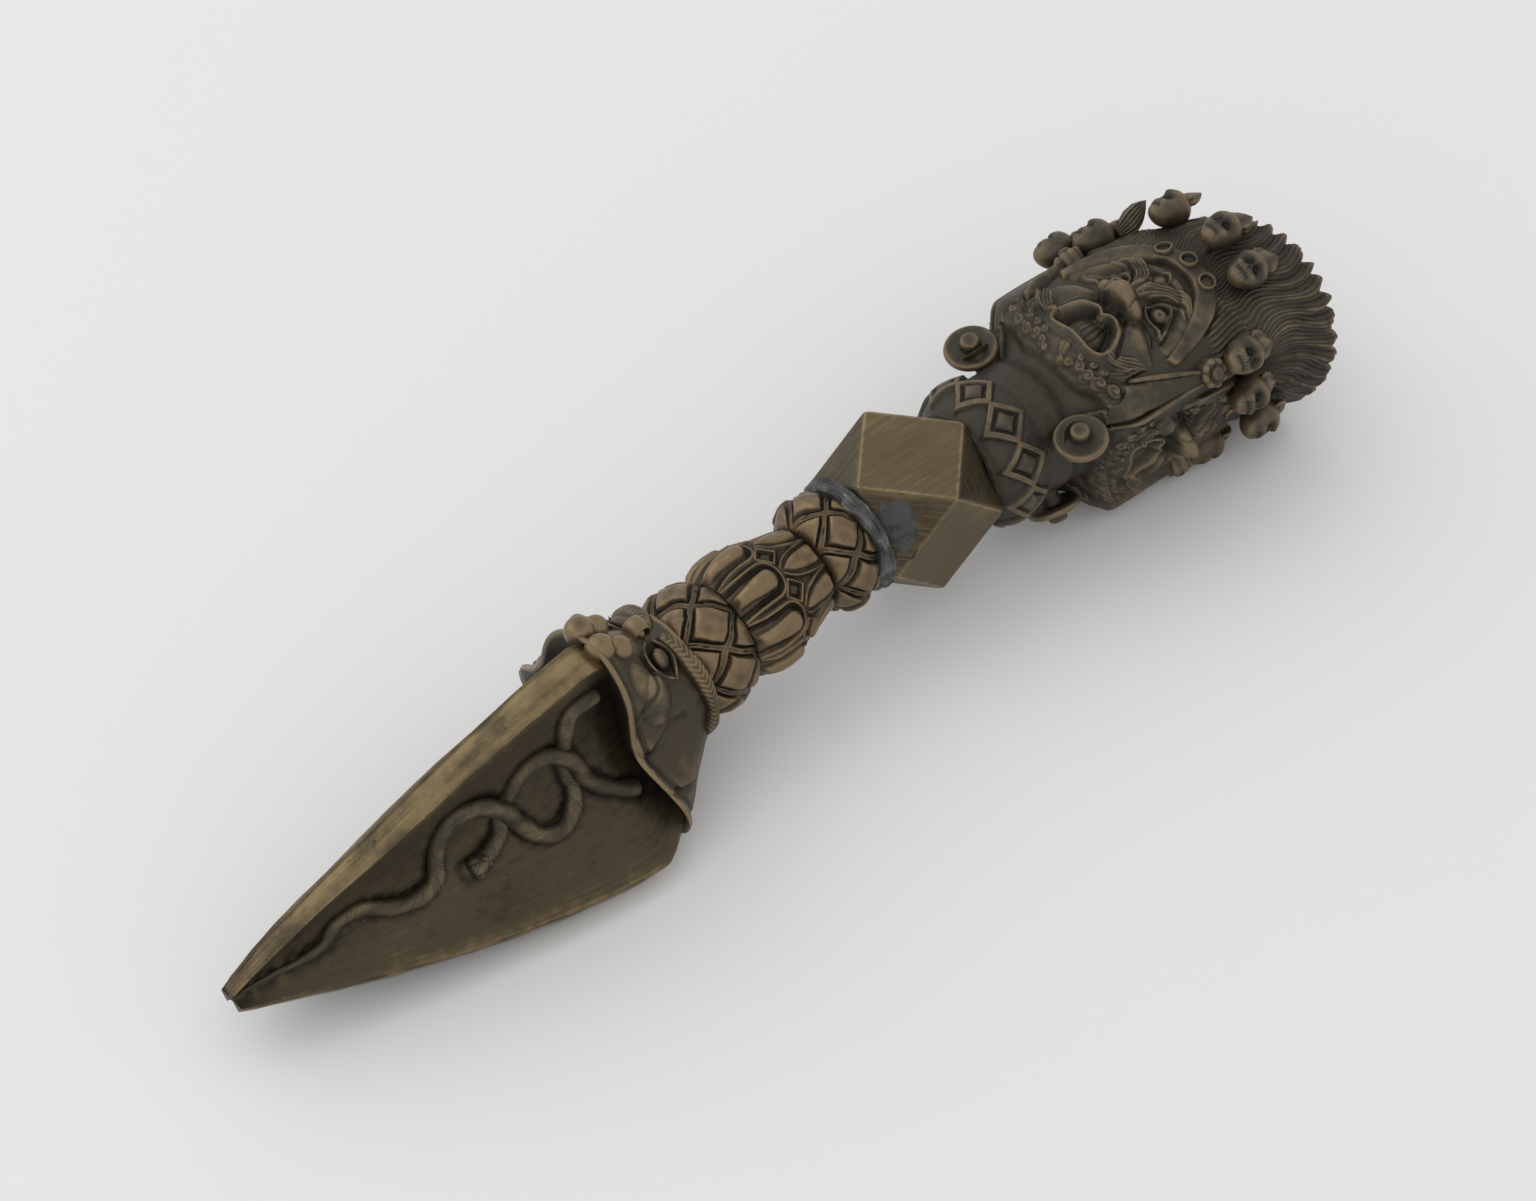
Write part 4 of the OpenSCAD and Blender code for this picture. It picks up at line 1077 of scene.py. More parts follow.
def over(casting_radius: Callable[[Array, Array], Array], path: Path, half: Sequence[float],
         height: Sequence[float], steps: int, columns: int, ribs: Triple | None = None,
         sink: float = 0.5, crown: float = 0.6) -> Pair:
    """Grid of a strip that lies on a casting: its section is carried along a curve and added to the
    radius.

    Args:
        casting_radius: radius of what it lies on, from angle and z.
        path: (angle, z) points of its middle.
        half: half widths spread along it.
        height: heights spread along it.
        steps: steps for each span of the path.
        columns: columns across it.
        ribs: (spacing, depth, slant) of grooves across it.
        sink: how far its borders go under the surface.
        crown: how round its section is, from 0 flat to 1 round.

    Returns:
        Points, and height over the casting.
    """
    line = curve(path, steps)
    radius = casting_radius(line[:, 0], line[:, 1])
    x, z = line[:, 0] * DEG * radius, line[:, 1]
    tangent = np.stack([np.gradient(x), np.gradient(z)], -1)
    tangent /= np.linalg.norm(tangent, axis=1, keepdims=True) + 1e-9
    share = np.linspace(0, 1, len(line))
    widths = np.interp(share, np.linspace(0, 1, len(half)), half)[:, None]
    rises = np.interp(share, np.linspace(0, 1, len(height)), height)[:, None]
    v = np.sin(np.linspace(-1, 1, columns) * np.pi / 2)[None, :]
    angle = line[:, 0:1] - v * widths * tangent[:, 1:2] / radius[:, None] / DEG
    zz = line[:, 1:2] + v * widths * tangent[:, 0:1]
    run = np.concatenate([[0], np.cumsum(np.hypot(np.diff(x), np.diff(z)))])[:, None]
    shape = (1 - np.abs(v) ** (2 + 6 * (1 - crown))) ** 0.5
    ends = np.sqrt(np.clip(np.minimum(run, run[-1] - run) / 0.8, 0, 1))
    lift = rises * shape * ends
    if ribs:
        spacing, depth, slant = ribs
        wave = np.cos(2 * np.pi * (run + slant * np.abs(v) * widths) / spacing)
        lift = lift - depth * smooth(shape * 1.5) * (0.5 + 0.5 * wave)
    lift = lift - sink * (1 - shape * ends)
    here = casting_radius(angle, zz)
    return polar(here + lift, angle, zz), lift


@dataclass
class Mask(Piece):
    """Sea monster that bites the blade: brow, eyes, nostrils, cheeks and beard on a lobed shell."""

    rows: int = 132
    columns: int = 440
    nodes: tuple[str, ...] = (
        "mask_shell", "mask_nostrils", "mask_scroll", "mask_eyes", "mask_brow_right",
        "mask_brow_left", "mask_beard")

    def build(self) -> None:
        """The shell with its relief, closed at the mouth, and what stands on it."""
        u = shares(self.rows)
        angle = np.linspace(-180, 180, self.columns, endpoint=False)[None, :]
        t = T_MASK + u * (MASK_LENGTH - mouth_drop(angle))
        r = mask_radius(u, angle)
        relief = Relief(angle * MASK_ARC, t)
        for middle in (0, 120, -120):
            self.features(relief, middle)
        lip = hump(u, 0.955, 0.03) * 0.5 - 0.55 * hump(u, 0.89, 0.025)
        relief.add(lip)
        worn = 0.5 + 0.5 * ripple(angle * 0.24, t, 7, 3)
        relief.hue = relief.hue + 0.35 * smooth((u - 0.9) / 0.08) * worn
        relief.add(0.1 * ripple(angle * MASK_ARC, t, 6, 21))
        turned = self.twist(u, angle)
        skin = polar(r + relief.height, turned, -t)
        back = polar(np.full_like(angle, 6.0), angle, -T_MASK + 0.0 * angle)
        inside = [polar(r[-1:] * share, turned[-1:], -t[-1:] + deep)
                  for share, deep in ((0.93, 0.25), (0.8, 0.8), (0.6, 1.5), (0.3, 2.0))]
        points = np.concatenate([back, skin] + inside, 0)
        # painted shade: the rings that go into the mask's mouth are made 0.7 darker
        hue = np.concatenate([relief.hue[:1], relief.hue] + [relief.hue[-1:] - 0.7] * len(inside), 0)
        body = Body(LOWER)
        body.grid(points, loop=True, hue=hue)
        self.extras(body)
        body.finish("mask_casting", MASK_BRASS, self.nodes)

    @staticmethod
    def twist(u: Array, angle: Array) -> Array:
        """Angle that follows the leaning fins towards the mouth, linear between two fins.

        Args:
            u: from 0 at the knot to 1 at the mouth.
            angle: angle round.

        Returns:
            The turned angle.
        """
        third = np.floor_divide(angle % 360, 120).astype(int)
        part = (angle % 360) - 120 * third
        a, b = np.array(LEAN)[third], np.array(LEAN)[(third + 1) % 3]
        return angle + (a + (b - a) * part / 120) * u

    @staticmethod
    def features(relief: Relief, middle: float) -> None:
        """Eyes, nose, cheeks and lips on each side of one fin.

        Args:
            relief: what they are carved into.
            middle: angle of the fin.
        """
        c = middle * MASK_ARC
        full = middle == 0
        for s in (-1, 1):
            if full:
                relief.dome(c + s * 4.6, 49.6, 3.4, 2.9, -1.3, 0.8, hue=-0.9)
                relief.dome(c + s * 4.4, 49.4, 1.9, 1.9, 2.9, 0.5, hue=0.7)
                relief.stroke([(c + s * 1.6, 48.2), (c + s * 4.4, 46.6), (c + s * 8.6, 48.6)],
                              [0.4, 0.7, 0.4], 0.9)
                relief.stroke([(c + s * 1.6, 50.5), (c + s * 4.5, 52.6), (c + s * 8.6, 48.9)],
                              [0.4, 0.6, 0.3], 0.8)
                relief.dome(c + s * 9.5, 54.5, 4.2, 3.6, 1.8, 0.8, hue=0.35)
                relief.dome(c + s * 5.4, 56.4, 2.6, 2.4, 1.5, 0.8, hue=0.4)
                relief.dome(c + s * 13.8, 57.5, 3.6, 4.5, 1.3, 0.9, hue=0.1)
                relief.stroke([(c + s * 3.2, 53.2), (c + s * 7, 54.2), (c + s * 9, 59.5)], 0.9, -0.45,
                              Section.RIDGE, hue=-0.35)
                relief.stroke([(c + s * 16, 50), (c + s * 15.2, 55), (c + s * 17.5, 60)], 1.5, -0.5,
                              Section.RIDGE, hue=-0.25)
            else:
                relief.stroke([(c + s * 3, 50), (c + s * 5, 54), (c + s * 7, 60)], 0.8, -0.6, Section.RIDGE,
                              hue=-0.5)
        if full:
            relief.dome(c, 53, 2.4, 5, 1.2, 0.8, hue=0.3)

    def extras(self, body: Body) -> None:
        """Brow bands, beard locks, nostril lobes and forehead ringlet, each on the shell.

        Args:
            body: mesh they join.
        """
        for s in (1, -1):
            path = [(s * 5, -46.6), (s * 20, -45), (s * 45, -44.2), (s * 70, -44), (s * 92, -44.6),
                    (s * 104, -46)]
            points, lift = over(shell_radius, path, [1.0, 1.7, 1.9, 1.7, 1.2, 1.9, 0.2],
                                [1.4, 2.0, 2.0, 1.8, 1.5, 1.6, 0.3],
                                steps=60, columns=25, ribs=(0.95, 0.2, 0.7), crown=0.7)
            body.grid(points, hue=-0.3 + 0.25 * lift)
            path = [(s * 124, -46), (s * 123, -50), (s * 122, -55), (s * 119, -60)]
            points, lift = over(shell_radius, path, [1.6, 2.6, 2.2, 0.4], [1.2, 1.9, 1.6, 0.3], steps=40,
                                columns=31, ribs=(0.9, 0.35, 1.2), crown=0.8)
            body.grid(points, hue=-0.35 + 0.15 * lift)
            for t, off, size in ((60.3, 2.5, 2.5), (56.4, 3.0, 2.15)):
                r = float(fin_radius(t)) + 1.2
                self.ball(body, np.array([r, s * off, -t]), size, (0.9, 1.0, 1.05), 0.75)
        ring = np.linspace(0, 2 * np.pi, 49)[:, None]
        tube = np.linspace(0, 2 * np.pi, 25)[None, :-1]
        r = float(mask_radius(0.38, 0.0)) + 1.4
        coil = 1.5 + 0.55 * np.cos(tube) * (1 + 0.0 * ring)
        x = r + (coil + 0.3) * np.sin(ring)
        z = -50.0 + (coil + 0.3) * np.cos(ring)
        y = 1.7 * np.sin(tube) + 0 * ring
        points = np.stack([x, y, z], -1)
        body.grid(points, loop=True, hue=-0.1, outward=points - points.mean((1,), keepdims=True))
        self.ball(body, np.array([r, 0, -50.0]), 1.1, (1, 1.5, 1), 0.3)

    @staticmethod
    def ball(body: Body, centre: Array, radius: float, squash: Triple, hue: float) -> None:
        """Slightly uneven ball.

        Args:
            body: mesh it joins.
            centre: its middle.
            radius: its radius.
            squash: factors in x, y and z.
            hue: its patina.
        """
        pole = np.linspace(0.02, np.pi - 0.02, 30)[:, None]
        spin = full_turn(48, 2 * np.pi)
        d = np.stack([np.cos(pole) + 0 * spin, np.sin(pole) * np.cos(spin), np.sin(pole) * np.sin(spin)], -1)
        r = radius * (1 + 0.05 * ripple(pole * 3, spin * 0, 4, 2))[..., None]
        body.closed(centre + d * r * np.array(squash), hue=hue, outward=d)


def pads(x: Array, y: Array, pitch: float, length: float, strap: float, rise: float) -> Pair:
    """Height of a net of lozenges: domed pads between flat straps, with a groove beside each strap.

    The distance to a lozenge's border is (1 - |x|/a - |y|/b) times ab over the root of aa + bb.

    Args:
        x, y: distance round, and height over the middle.
        pitch: width of a lozenge.
        length: its length.
        strap: half width of a strap.
        rise: height of a pad.

    Returns:
        Height and patina.
    """
    a, b = pitch / 2, length / 2
    height = np.full(np.broadcast(x, y).shape, 0.0)
    hue = np.full(height.shape, 0.2)
    for shift_x, shift_y in ((0, 0), (a, b), (a, -b)):
        dx = np.abs((x - shift_x + a) % pitch - a)
        dy = np.abs(y - shift_y)
        d = (1 - dx / a - dy / b) * a * b / math.hypot(a, b)
        inner = np.clip((d - strap) / 1.7, 0, 1)
        pad = rise * np.sqrt(1 - (1 - inner) ** 2)
        groove = np.exp(-(((d - strap) / 0.24) ** 2))
        own = 0.25 * smooth(np.clip(d, 0, 1) / 0.5) + pad - 0.75 * groove
        tone = 0.25 + 0.35 * smooth(inner * 2) - 1.3 * np.exp(-(((d - strap) / 0.3) ** 2))
        height, hue = np.where(d > 0, own, height), np.where(d > 0, tone, hue)
    return height, hue


@dataclass
class Knot(Piece):
    """Barrel with rounded lozenge pads between dark grooves."""

    name: str
    t0: float
    length: float
    middle: float
    end: float
    phase: float
    lozenges: int = 7
    columns: int = 400
    row_step: float = 0.17

    def build(self) -> None:
        """A circle's bow between its ends, with the net of pads on it."""
        s = shares(int(self.length / self.row_step))
        angle = full_turn(self.columns)
        y = (s - 0.5) * self.length
        drop = self.middle - self.end
        arc = (drop**2 + self.length**2 / 4) / (2 * drop)
        r = self.middle - arc + np.sqrt(arc**2 - y * y)
        pitch = 2 * np.pi * self.middle / self.lozenges
        x = (angle - self.phase) * DEG * self.middle
        wobble = 0.35 * ripple(x, y, 9, 4)
        bent = y * 1.02 + 0.25 * ripple(x, y, 7, 8)
        height, hue = pads(x + wobble, bent, pitch, self.length * 0.98, 0.8, 0.6)
        nick = self.nicks(x, y, pitch)
        height = height - nick
        height = height + 0.07 * ripple(x, y, 3.5, 12)
        fade = smooth((1 - np.abs(2 * s - 1)) / 0.08)
        points = polar(r - 0.45 + height * fade, angle, -(self.t0 + s * self.length))
        body = Body(LOWER)
        body.closed(points, hue=hue * fade - 1.6 * nick - 0.8 * (1 - fade))
        body.finish(self.name + "_casting", GRIP_BRASS, [self.name])

    def nicks(self, x: Array, y: Array, pitch: float) -> Array:
        """Chisel cuts across the straps, near the corners of the pads.

        Args:
            x, y: distance round, and height over the middle.
            pitch: width of a lozenge.

        Returns:
            Depth of the cuts.
        """
        a = pitch / 2
        dx = (x + a) % pitch - a
        cuts = 0.0
        for sx in (-1, 1):
            for sy in (-1, 1):
                px, py = dx - sx * a * 0.5, y - sy * self.length * 0.25
                u, v = 0.8 * px + 0.6 * sx * sy * py, 0.8 * py - 0.6 * sx * sy * px
                cuts = cuts + hump(u, 0, 0.13) * smooth((0.75 - np.abs(v)) / 0.3)
        return 0.28 * cuts


def lotus_radius(z: Array) -> Array:
    """Radius of the lotus grip, z from 0 at its lower end: flared cup below, cone above."""
    return np.interp(z / LOTUS_LENGTH, [0, 0.1, 0.18, 0.3, 0.42, 0.5, 0.6, 0.72, 0.86, 1],
                     [9.4, 10.3, 10.8, 11, 10.85, 10.6, 9.95, 8.9, 8.0, 7.3])


@dataclass
class Lotus(Piece):
    """Two rows of petals with raised pads in ridged frames, and lozenges between them."""

    phase: float = 18.0
    petals: int = 8
    rows: int = 116
    columns: int = 460

    def build(self) -> None:
        """The grip's radius with petals and lozenges added to it."""
        z = np.linspace(0, LOTUS_LENGTH, self.rows)[:, None]
        angle = full_turn(self.columns)
        r = lotus_radius(z)
        pitch = 360 / self.petals
        part = (angle - self.phase + pitch / 2) % pitch - pitch / 2
        x = part * DEG * r
        half = pitch / 2 * DEG * r
        height, hue = self.long_petal(x, z)
        up, up_hue = self.short_petal(x, z)
        gem, gem_hue, inside = self.gem(x, z, half)
        height = (height + up) * (1 - inside) + gem
        hue = (hue + up_hue) * (1 - inside) + gem_hue
        height = height + 0.09 * ripple(angle * DEG * 10, z, 4, 3)
        hue = hue + 0.2 * ripple(angle * DEG * 10, z, 8, 5)
        points = polar(r + height, angle, z - T_KNOT)
        body = Body(LOWER)
        body.closed(points, hue=hue)
        body.finish("lotus_casting", GRIP_BRASS, [
            "lotus_grip", "lotus_long_petals", "lotus_short_petals", "lotus_diamonds"])

    @staticmethod
    def swell(inside: Array, width: float) -> Array:
        """Rounded pad: quarter circle from its border to this far in."""
        return np.sqrt(1 - (1 - np.clip(inside / width, 0, 1)) ** 2)

    def long_petal(self, x: Array, z: Array) -> Pair:
        """Long petal: a round-headed pad that tapers to its foot, under a ridge that arches over it.

        Args:
            x, z: distance from the petal's middle, and height.

        Returns:
            Height and patina.
        """
        head, top = 7.7, 10.6
        over_head = np.clip((z - head) / (top - head), 0, None)
        arch = 3.75 * (0.9 + 0.1 * smooth(z / 7)) * (1 - np.hypot(x / 3.75, over_head))
        foot = smooth((z + 0.2) / 1.6)
        width = 1.2 + 0.75 * smooth(z / 7)
        rounded = np.clip((z - 7.6) / 1.8, 0, 1)
        pad_in = width * (1 - np.hypot(x / width, rounded))
        pad = 1.25 * self.swell(pad_in, 1.5) * foot
        ridge = 0.5 * hump(arch, 0.25, 0.32)
        gutter = -0.55 * hump(arch, 1.05, 0.45)
        below = smooth((11.2 - z) / 0.8)
        outer = -0.5 * smooth((-arch - 0.25) / 0.4)
        height = pad + (ridge + gutter + outer) * below
        frame_hue = 0.35 * ridge - 0.6 * hump(arch, 1.1, 0.5) - 0.5 * smooth((-arch - 0.3) / 0.3)
        return height, 0.95 * smooth(pad * 1.4) + frame_hue * below

    def short_petal(self, x: Array, z: Array) -> Pair:
        """Short petal: a shield pointed downwards, with a V-shaped ridge round it.

        Args:
            x, z: distance from the petal's middle, and height.

        Returns:
            Height and patina.
        """
        down = 19.4 - z
        taper = np.sqrt(np.clip(1 - (np.clip(down, 0, None) / 8.4) ** 2.2, 0, 1))
        edge = 2.9 * taper - np.abs(x)
        above = smooth((z - 10.9) / 0.5)
        roof = smooth((19.3 - z) / 0.5)
        pad = 1.05 * self.swell(edge - 1.0, 1.2) * roof
        ridge = 0.4 * hump(edge, 0.15, 0.28)
        outer = -0.4 * smooth((-edge - 0.15) / 0.35)
        hue = 0.8 * smooth(pad * 1.5) + 0.3 * ridge - 0.5 * hump(edge, 0.8, 0.35) - 0.45 * smooth(-edge * 2)
        return (pad + ridge + outer) * above, hue * above

    def gem(self, x: Array, z: Array, half: Array) -> tuple[Array, Array, Array]:
        """Lozenge between two petals, in a thin frame.

        Args:
            x, z: distance from the petal's middle, and height.
            half: half of the petals' pitch.

        Returns:
            Height, patina, and 1 inside the lozenge.
        """
        d = (1 - (half - np.abs(x)) / 2.5 - np.abs(z - 10.9) / 2.4) * 1.7
        inside = smooth((d + 0.1) / 0.2)
        frame_line = hump(d, 0.12, 0.2)
        height = 0.55 * frame_line - 0.45 * smooth((d - 0.25) / 0.3) + 0.35 * smooth((d - 0.7) / 0.5)
        hue = 0.45 * frame_line - 0.7 * smooth((d - 0.3) / 0.2)
        return height * smooth((d + 0.4) / 0.3), hue * inside, inside


@dataclass
class Solder(Piece):
    """Grey solder smeared round the joint."""

    rows: int = 54
    columns: int = 300
    radius: float = 11.0
    smear_wide: float = 6.2
    smear_deep: float = 4.0

    def build(self) -> None:
        """An uneven ring round the joint."""
        s, angle = shares(self.rows), full_turn(self.columns)
        x = angle * DEG * self.radius
        end = 2.3 + 0.55 * ripple(x, 0 * x, 17, 6) + 0.25 * ripple(x, 0 * x, 5, 8)
        t = -0.2 + s * end
        r = np.interp(s, [0, 0.25, 0.55, 0.8, 1], [11.4, 11.25, 11.0, 10.8, 10.1])
        r = r + 0.2 * ripple(x, s * 9, 6, 2) + 0.08 * ripple(x, s * 9, 2.5, 9)
        points = polar(r, angle, -t)
        body = Body(LOWER)
        body.closed(points, hue=0.3 * ripple(x, s * 6, 5, 1))
        self.smear(body)
        body.finish("solder_joint", SOLDER, ["solder_fillet"])

    def smear(self, body: Body) -> None:
        """Thin run of solder over the block's lower triangle, a flat ellipse with an uneven edge.

        Args:
            body: mesh it joins.
        """
        n = np.array([1.0, 1.0, -1.0]) / math.sqrt(3)
        down = np.array([0, 0, -1.0]) + n * n[2]
        down /= np.linalg.norm(down)
        across = np.cross(n, down)
        half = FacetBlock.half
        middle = n * half * 2 / math.sqrt(3) + down * 1.1 + np.array([0, 0, half])
        rho = np.linspace(0.02, 1, 30)[:, None]
        spin = full_turn(120, 2 * np.pi)
        edge = 1 + 0.08 * np.sin(3 * spin + 1) + 0.04 * np.sin(5 * spin)
        x = self.smear_wide * rho * edge * np.cos(spin)
        y = self.smear_deep * rho * edge * np.sin(spin)
        lift = 0.12 * smooth(2 * (1 - rho)) - 0.05 + 0.02 * ripple(x, y, 4, 4)
        points = middle + across * x[..., None] + down * y[..., None] + n * lift[..., None]
        hue = 0.3 * ripple(x, y, 5, 7) - 0.3
        to_lower = LOWER.matrix.T @ BLOCK.matrix
        body.closed(points @ to_lower.T, hue=hue, outward=to_lower @ n)


@dataclass
class FacetBlock(Piece):
    """Cube with its corners cut, brushed on every face, edges a little worn."""

    half: float = 12.5
    sharpness: int = 70
    steps: int = 58

    def planes(self) -> list[tuple[Array, float]]:
        """Normal and distance of the six square faces and the eight triangles."""
        signs = (-1.0, 1.0)
        axes = [s * np.eye(3)[k] + 0.0 for k in range(3) for s in (1, -1)]
        slants = [np.array((a, b, c)) / math.sqrt(3) for a in signs for b in signs for c in signs]
        return [(n, self.half) for n in axes] + [(n, self.half * 2 / math.sqrt(3)) for n in slants]

    def build(self) -> None:
        """Each face is a grid between its corners."""
        pairs = [(s, t) for s in (-1, 1) for t in (-1, 1)]
        corners = [(s, t, 0) for s, t in pairs] + [(s, 0, t) for s, t in pairs]
        corners += [(0, s, t) for s, t in pairs]
        corners = np.array(corners, float) * self.half
        body = Body(BLOCK)
        share = 0.5 - 0.5 * np.cos(np.linspace(0, np.pi, self.steps))
        for n, reach in self.planes():
            ring = corners[np.abs(corners @ n - reach) < 1e-6]
            middle = ring.mean(0)
            side = np.cross(n, [0.3, 0.2, 0.9])
            side /= np.linalg.norm(side)
            order = np.argsort(np.arctan2((ring - middle) @ np.cross(n, side), (ring - middle) @ side))
            ring = ring[order]
            if len(ring) == 3:
                ring = np.concatenate([ring, ring[2:]])
            a, b = share[:, None, None], share[None, :, None]
            points = (1 - a) * ((1 - b) * ring[0] + b * ring[1]) + a * ((1 - b) * ring[3] + b * ring[2])
            self.face(body, points, n, ring)
        body.finish("block_casting", BLOCK_BRASS, ["facet_block"])

    def face(self, body: Body, points: Array, n: Array, ring: Array) -> None:
        """One face, its border rounded: points are divided by a high-power mean of their share of each
        face.

        Args:
            body: mesh it joins.
            points: the flat face.
            n: its normal.
            ring: its corners.
        """
        stacked = np.stack([points @ m / d for m, d in self.planes()])
        norm = (np.clip(stacked, 0, None) ** self.sharpness).sum(0) ** (1 / self.sharpness)
        near = np.sort(stacked, 0)[-2]
        rounded = points / norm[..., None]
        wear = smooth((near - 0.955) / 0.04)
        along = ring[1] - ring[0]
        along = along / np.linalg.norm(along)
        if abs(n[2]) < 0.5:
            along = np.array([0, 0, 1.0]) - n[2] * n
            along /= np.linalg.norm(along)
        other = np.cross(n, along)
        flat = np.stack([rounded @ along + 40 * n[0], rounded @ other + 60 * n[1] + 20 * n[2]], -1)
        slanted = abs(abs(n).max() - 1) > 0.01
        hue = 0.85 * wear + 0.15 * ripple(flat[..., 0], flat[..., 1], 14, 3)
        hue = hue + (-0.85 if slanted and n[0] > 0 else 0.0)
        body.grid(rounded + np.array([0, 0, self.half]), hue=hue, outward=n, flat=flat)


# --- Head ----------------------------------------------------------------------------------------

# Heights above the solder joint, then angles of the ears and of a side face's middle.
Z_COLLAR, Z_FACE, Z_MOUTH, Z_HAIR = 25.0, 36.0, 55.0, 82.0
Z_DISC, Z_EAR_TOP, Z_BAND = 40.5, 68.2, 78.2
EAR, REAR, SIDE = 60.0, 143.0, 101.5
FRONT_SPAN, SIDE_SPAN = 120, 83  # degrees that the front face and a side face take up
CORE = 9.4  # radius of the rod inside
DISC_REACH = 16.6
WIDE_BAND = 40.0  # a band that reaches further than this many degrees is the front one


@dataclass
class Collar(Piece):
    """Swollen ring, level with the neck above, with a net of lozenge frames, each round a pad."""

    length: float = 11.0
    radius: float = 13.4
    frames: int = 10
    frame_half: float = 4.3
    phase: float = 24.0
    share: tuple[float, ...] = (0, 0.12, 0.3, 0.44, 0.6, 0.8, 1)
    fall: tuple[float, ...] = (3, 1.7, 0.5, 0, 0, 0.35, 1.0)
    rows: int = 66
    columns: int = 480

    def build(self) -> None:
        """A ring with the net of frames and pads on it."""
        s, angle = shares(self.rows), full_turn(self.columns)
        z = s * self.length
        y = (s - 0.5) * self.length
        outline = curve(
            np.stack([np.array(self.share) * self.length, self.radius - np.array(self.fall)], -1), 8)
        r = np.interp(z, outline[:, 0], outline[:, 1])
        pitch = 2 * np.pi * self.radius / self.frames
        x = (angle - self.phase) * DEG * self.radius + 0.12 * ripple(angle * 0.23, z, 7, 5)
        dx = np.abs((x + pitch / 2) % pitch - pitch / 2)
        a, b = pitch / 2, self.frame_half
        d = (1 - dx / a - np.abs(y) / b) * a * b / math.hypot(a, b)
        bar = smooth((0.95 - d) / 0.3) * smooth((d + 0.5) / 0.35)
        pad = np.sqrt(np.clip(1 - (1 - np.clip((d - 1.3) / 1.2, 0, 1)) ** 2, 0, 1))
        height = 0.8 * bar + 0.75 * pad - 0.15 * smooth(-d / 0.6)
        hue = 0.55 * bar + 0.45 * pad - 0.3 - 0.6 * hump(d, 1.2, 0.22)
        height = height + 0.05 * ripple(x, y, 4, 7)
        fade = smooth((1 - np.abs(2 * s - 1)) / 0.05)
        points = polar(r + height * fade, angle, Z_COLLAR + z)
        body = Body(HEAD)
        body.closed(points, hue=hue * fade)
        body.finish("collar_casting", HEAD_BRASS, ["collar_ring", "collar_net"])


def ear_share(angle: Value) -> Array:
    """How far out the head stands, in smooth steps from 0 at a face's middle to 1 at the ears.

    Args:
        angle: angle round the head.

    Returns:
        The share.
    """
    a = np.abs((np.asarray(angle, float) + 180) % 360 - 180)
    front, side = smooth((a - 16) / 44), smooth((np.abs(a - SIDE) - 11) / 30.5)
    return np.where(a <= EAR, front, np.where(a <= REAR, side, 0.5 + 0.5 * smooth((180 - a) / 37)))


def head_base(angle: Value, z: Value) -> Array:
    """Radius of the head without features: a thin neck, full cheeks, and further out at the ears."""
    y = np.asarray(z, float) - Z_MOUTH
    return (12.4 + 4.0 * smooth((y + 12) / 8) - 0.8 * smooth((y - 12) / 14)
            + 0.3 * hump(y, -13.5, 2.4) + 4.0 * ear_share(angle) * smooth((y + 14) / 11))


# Rim of a face's mouth: millimetres round from its middle, and height.
MOUTH = ((-5.7, 53.6), (-5.1, 55.7), (-3.9, 57.6), (-2.4, 58.9), (-1.2, 58.9), (0, 58.0), (1.2, 58.9),
         (2.4, 58.9), (3.9, 57.6), (5.1, 55.7), (5.7, 53.6), (5.3, 52.1), (3.6, 51.3), (0, 51.6),
         (-3.6, 51.3), (-5.3, 52.1))


CURLS = (  # beard curls: millimetres round from the middle, height, radius
    (3.3, 47.0, 1.0), (5.2, 47.6, 1.2), (7.3, 47.6, 1.25), (9.3, 48.2, 1.3), (11.2, 49.4, 1.3),
    (12.2, 51.6, 1.1), (4.2, 48.9, 0.8), (6.4, 49.5, 0.9), (8.3, 49.9, 0.9), (1.9, 46.4, 0.8),
    (12.3, 53.8, 0.9))


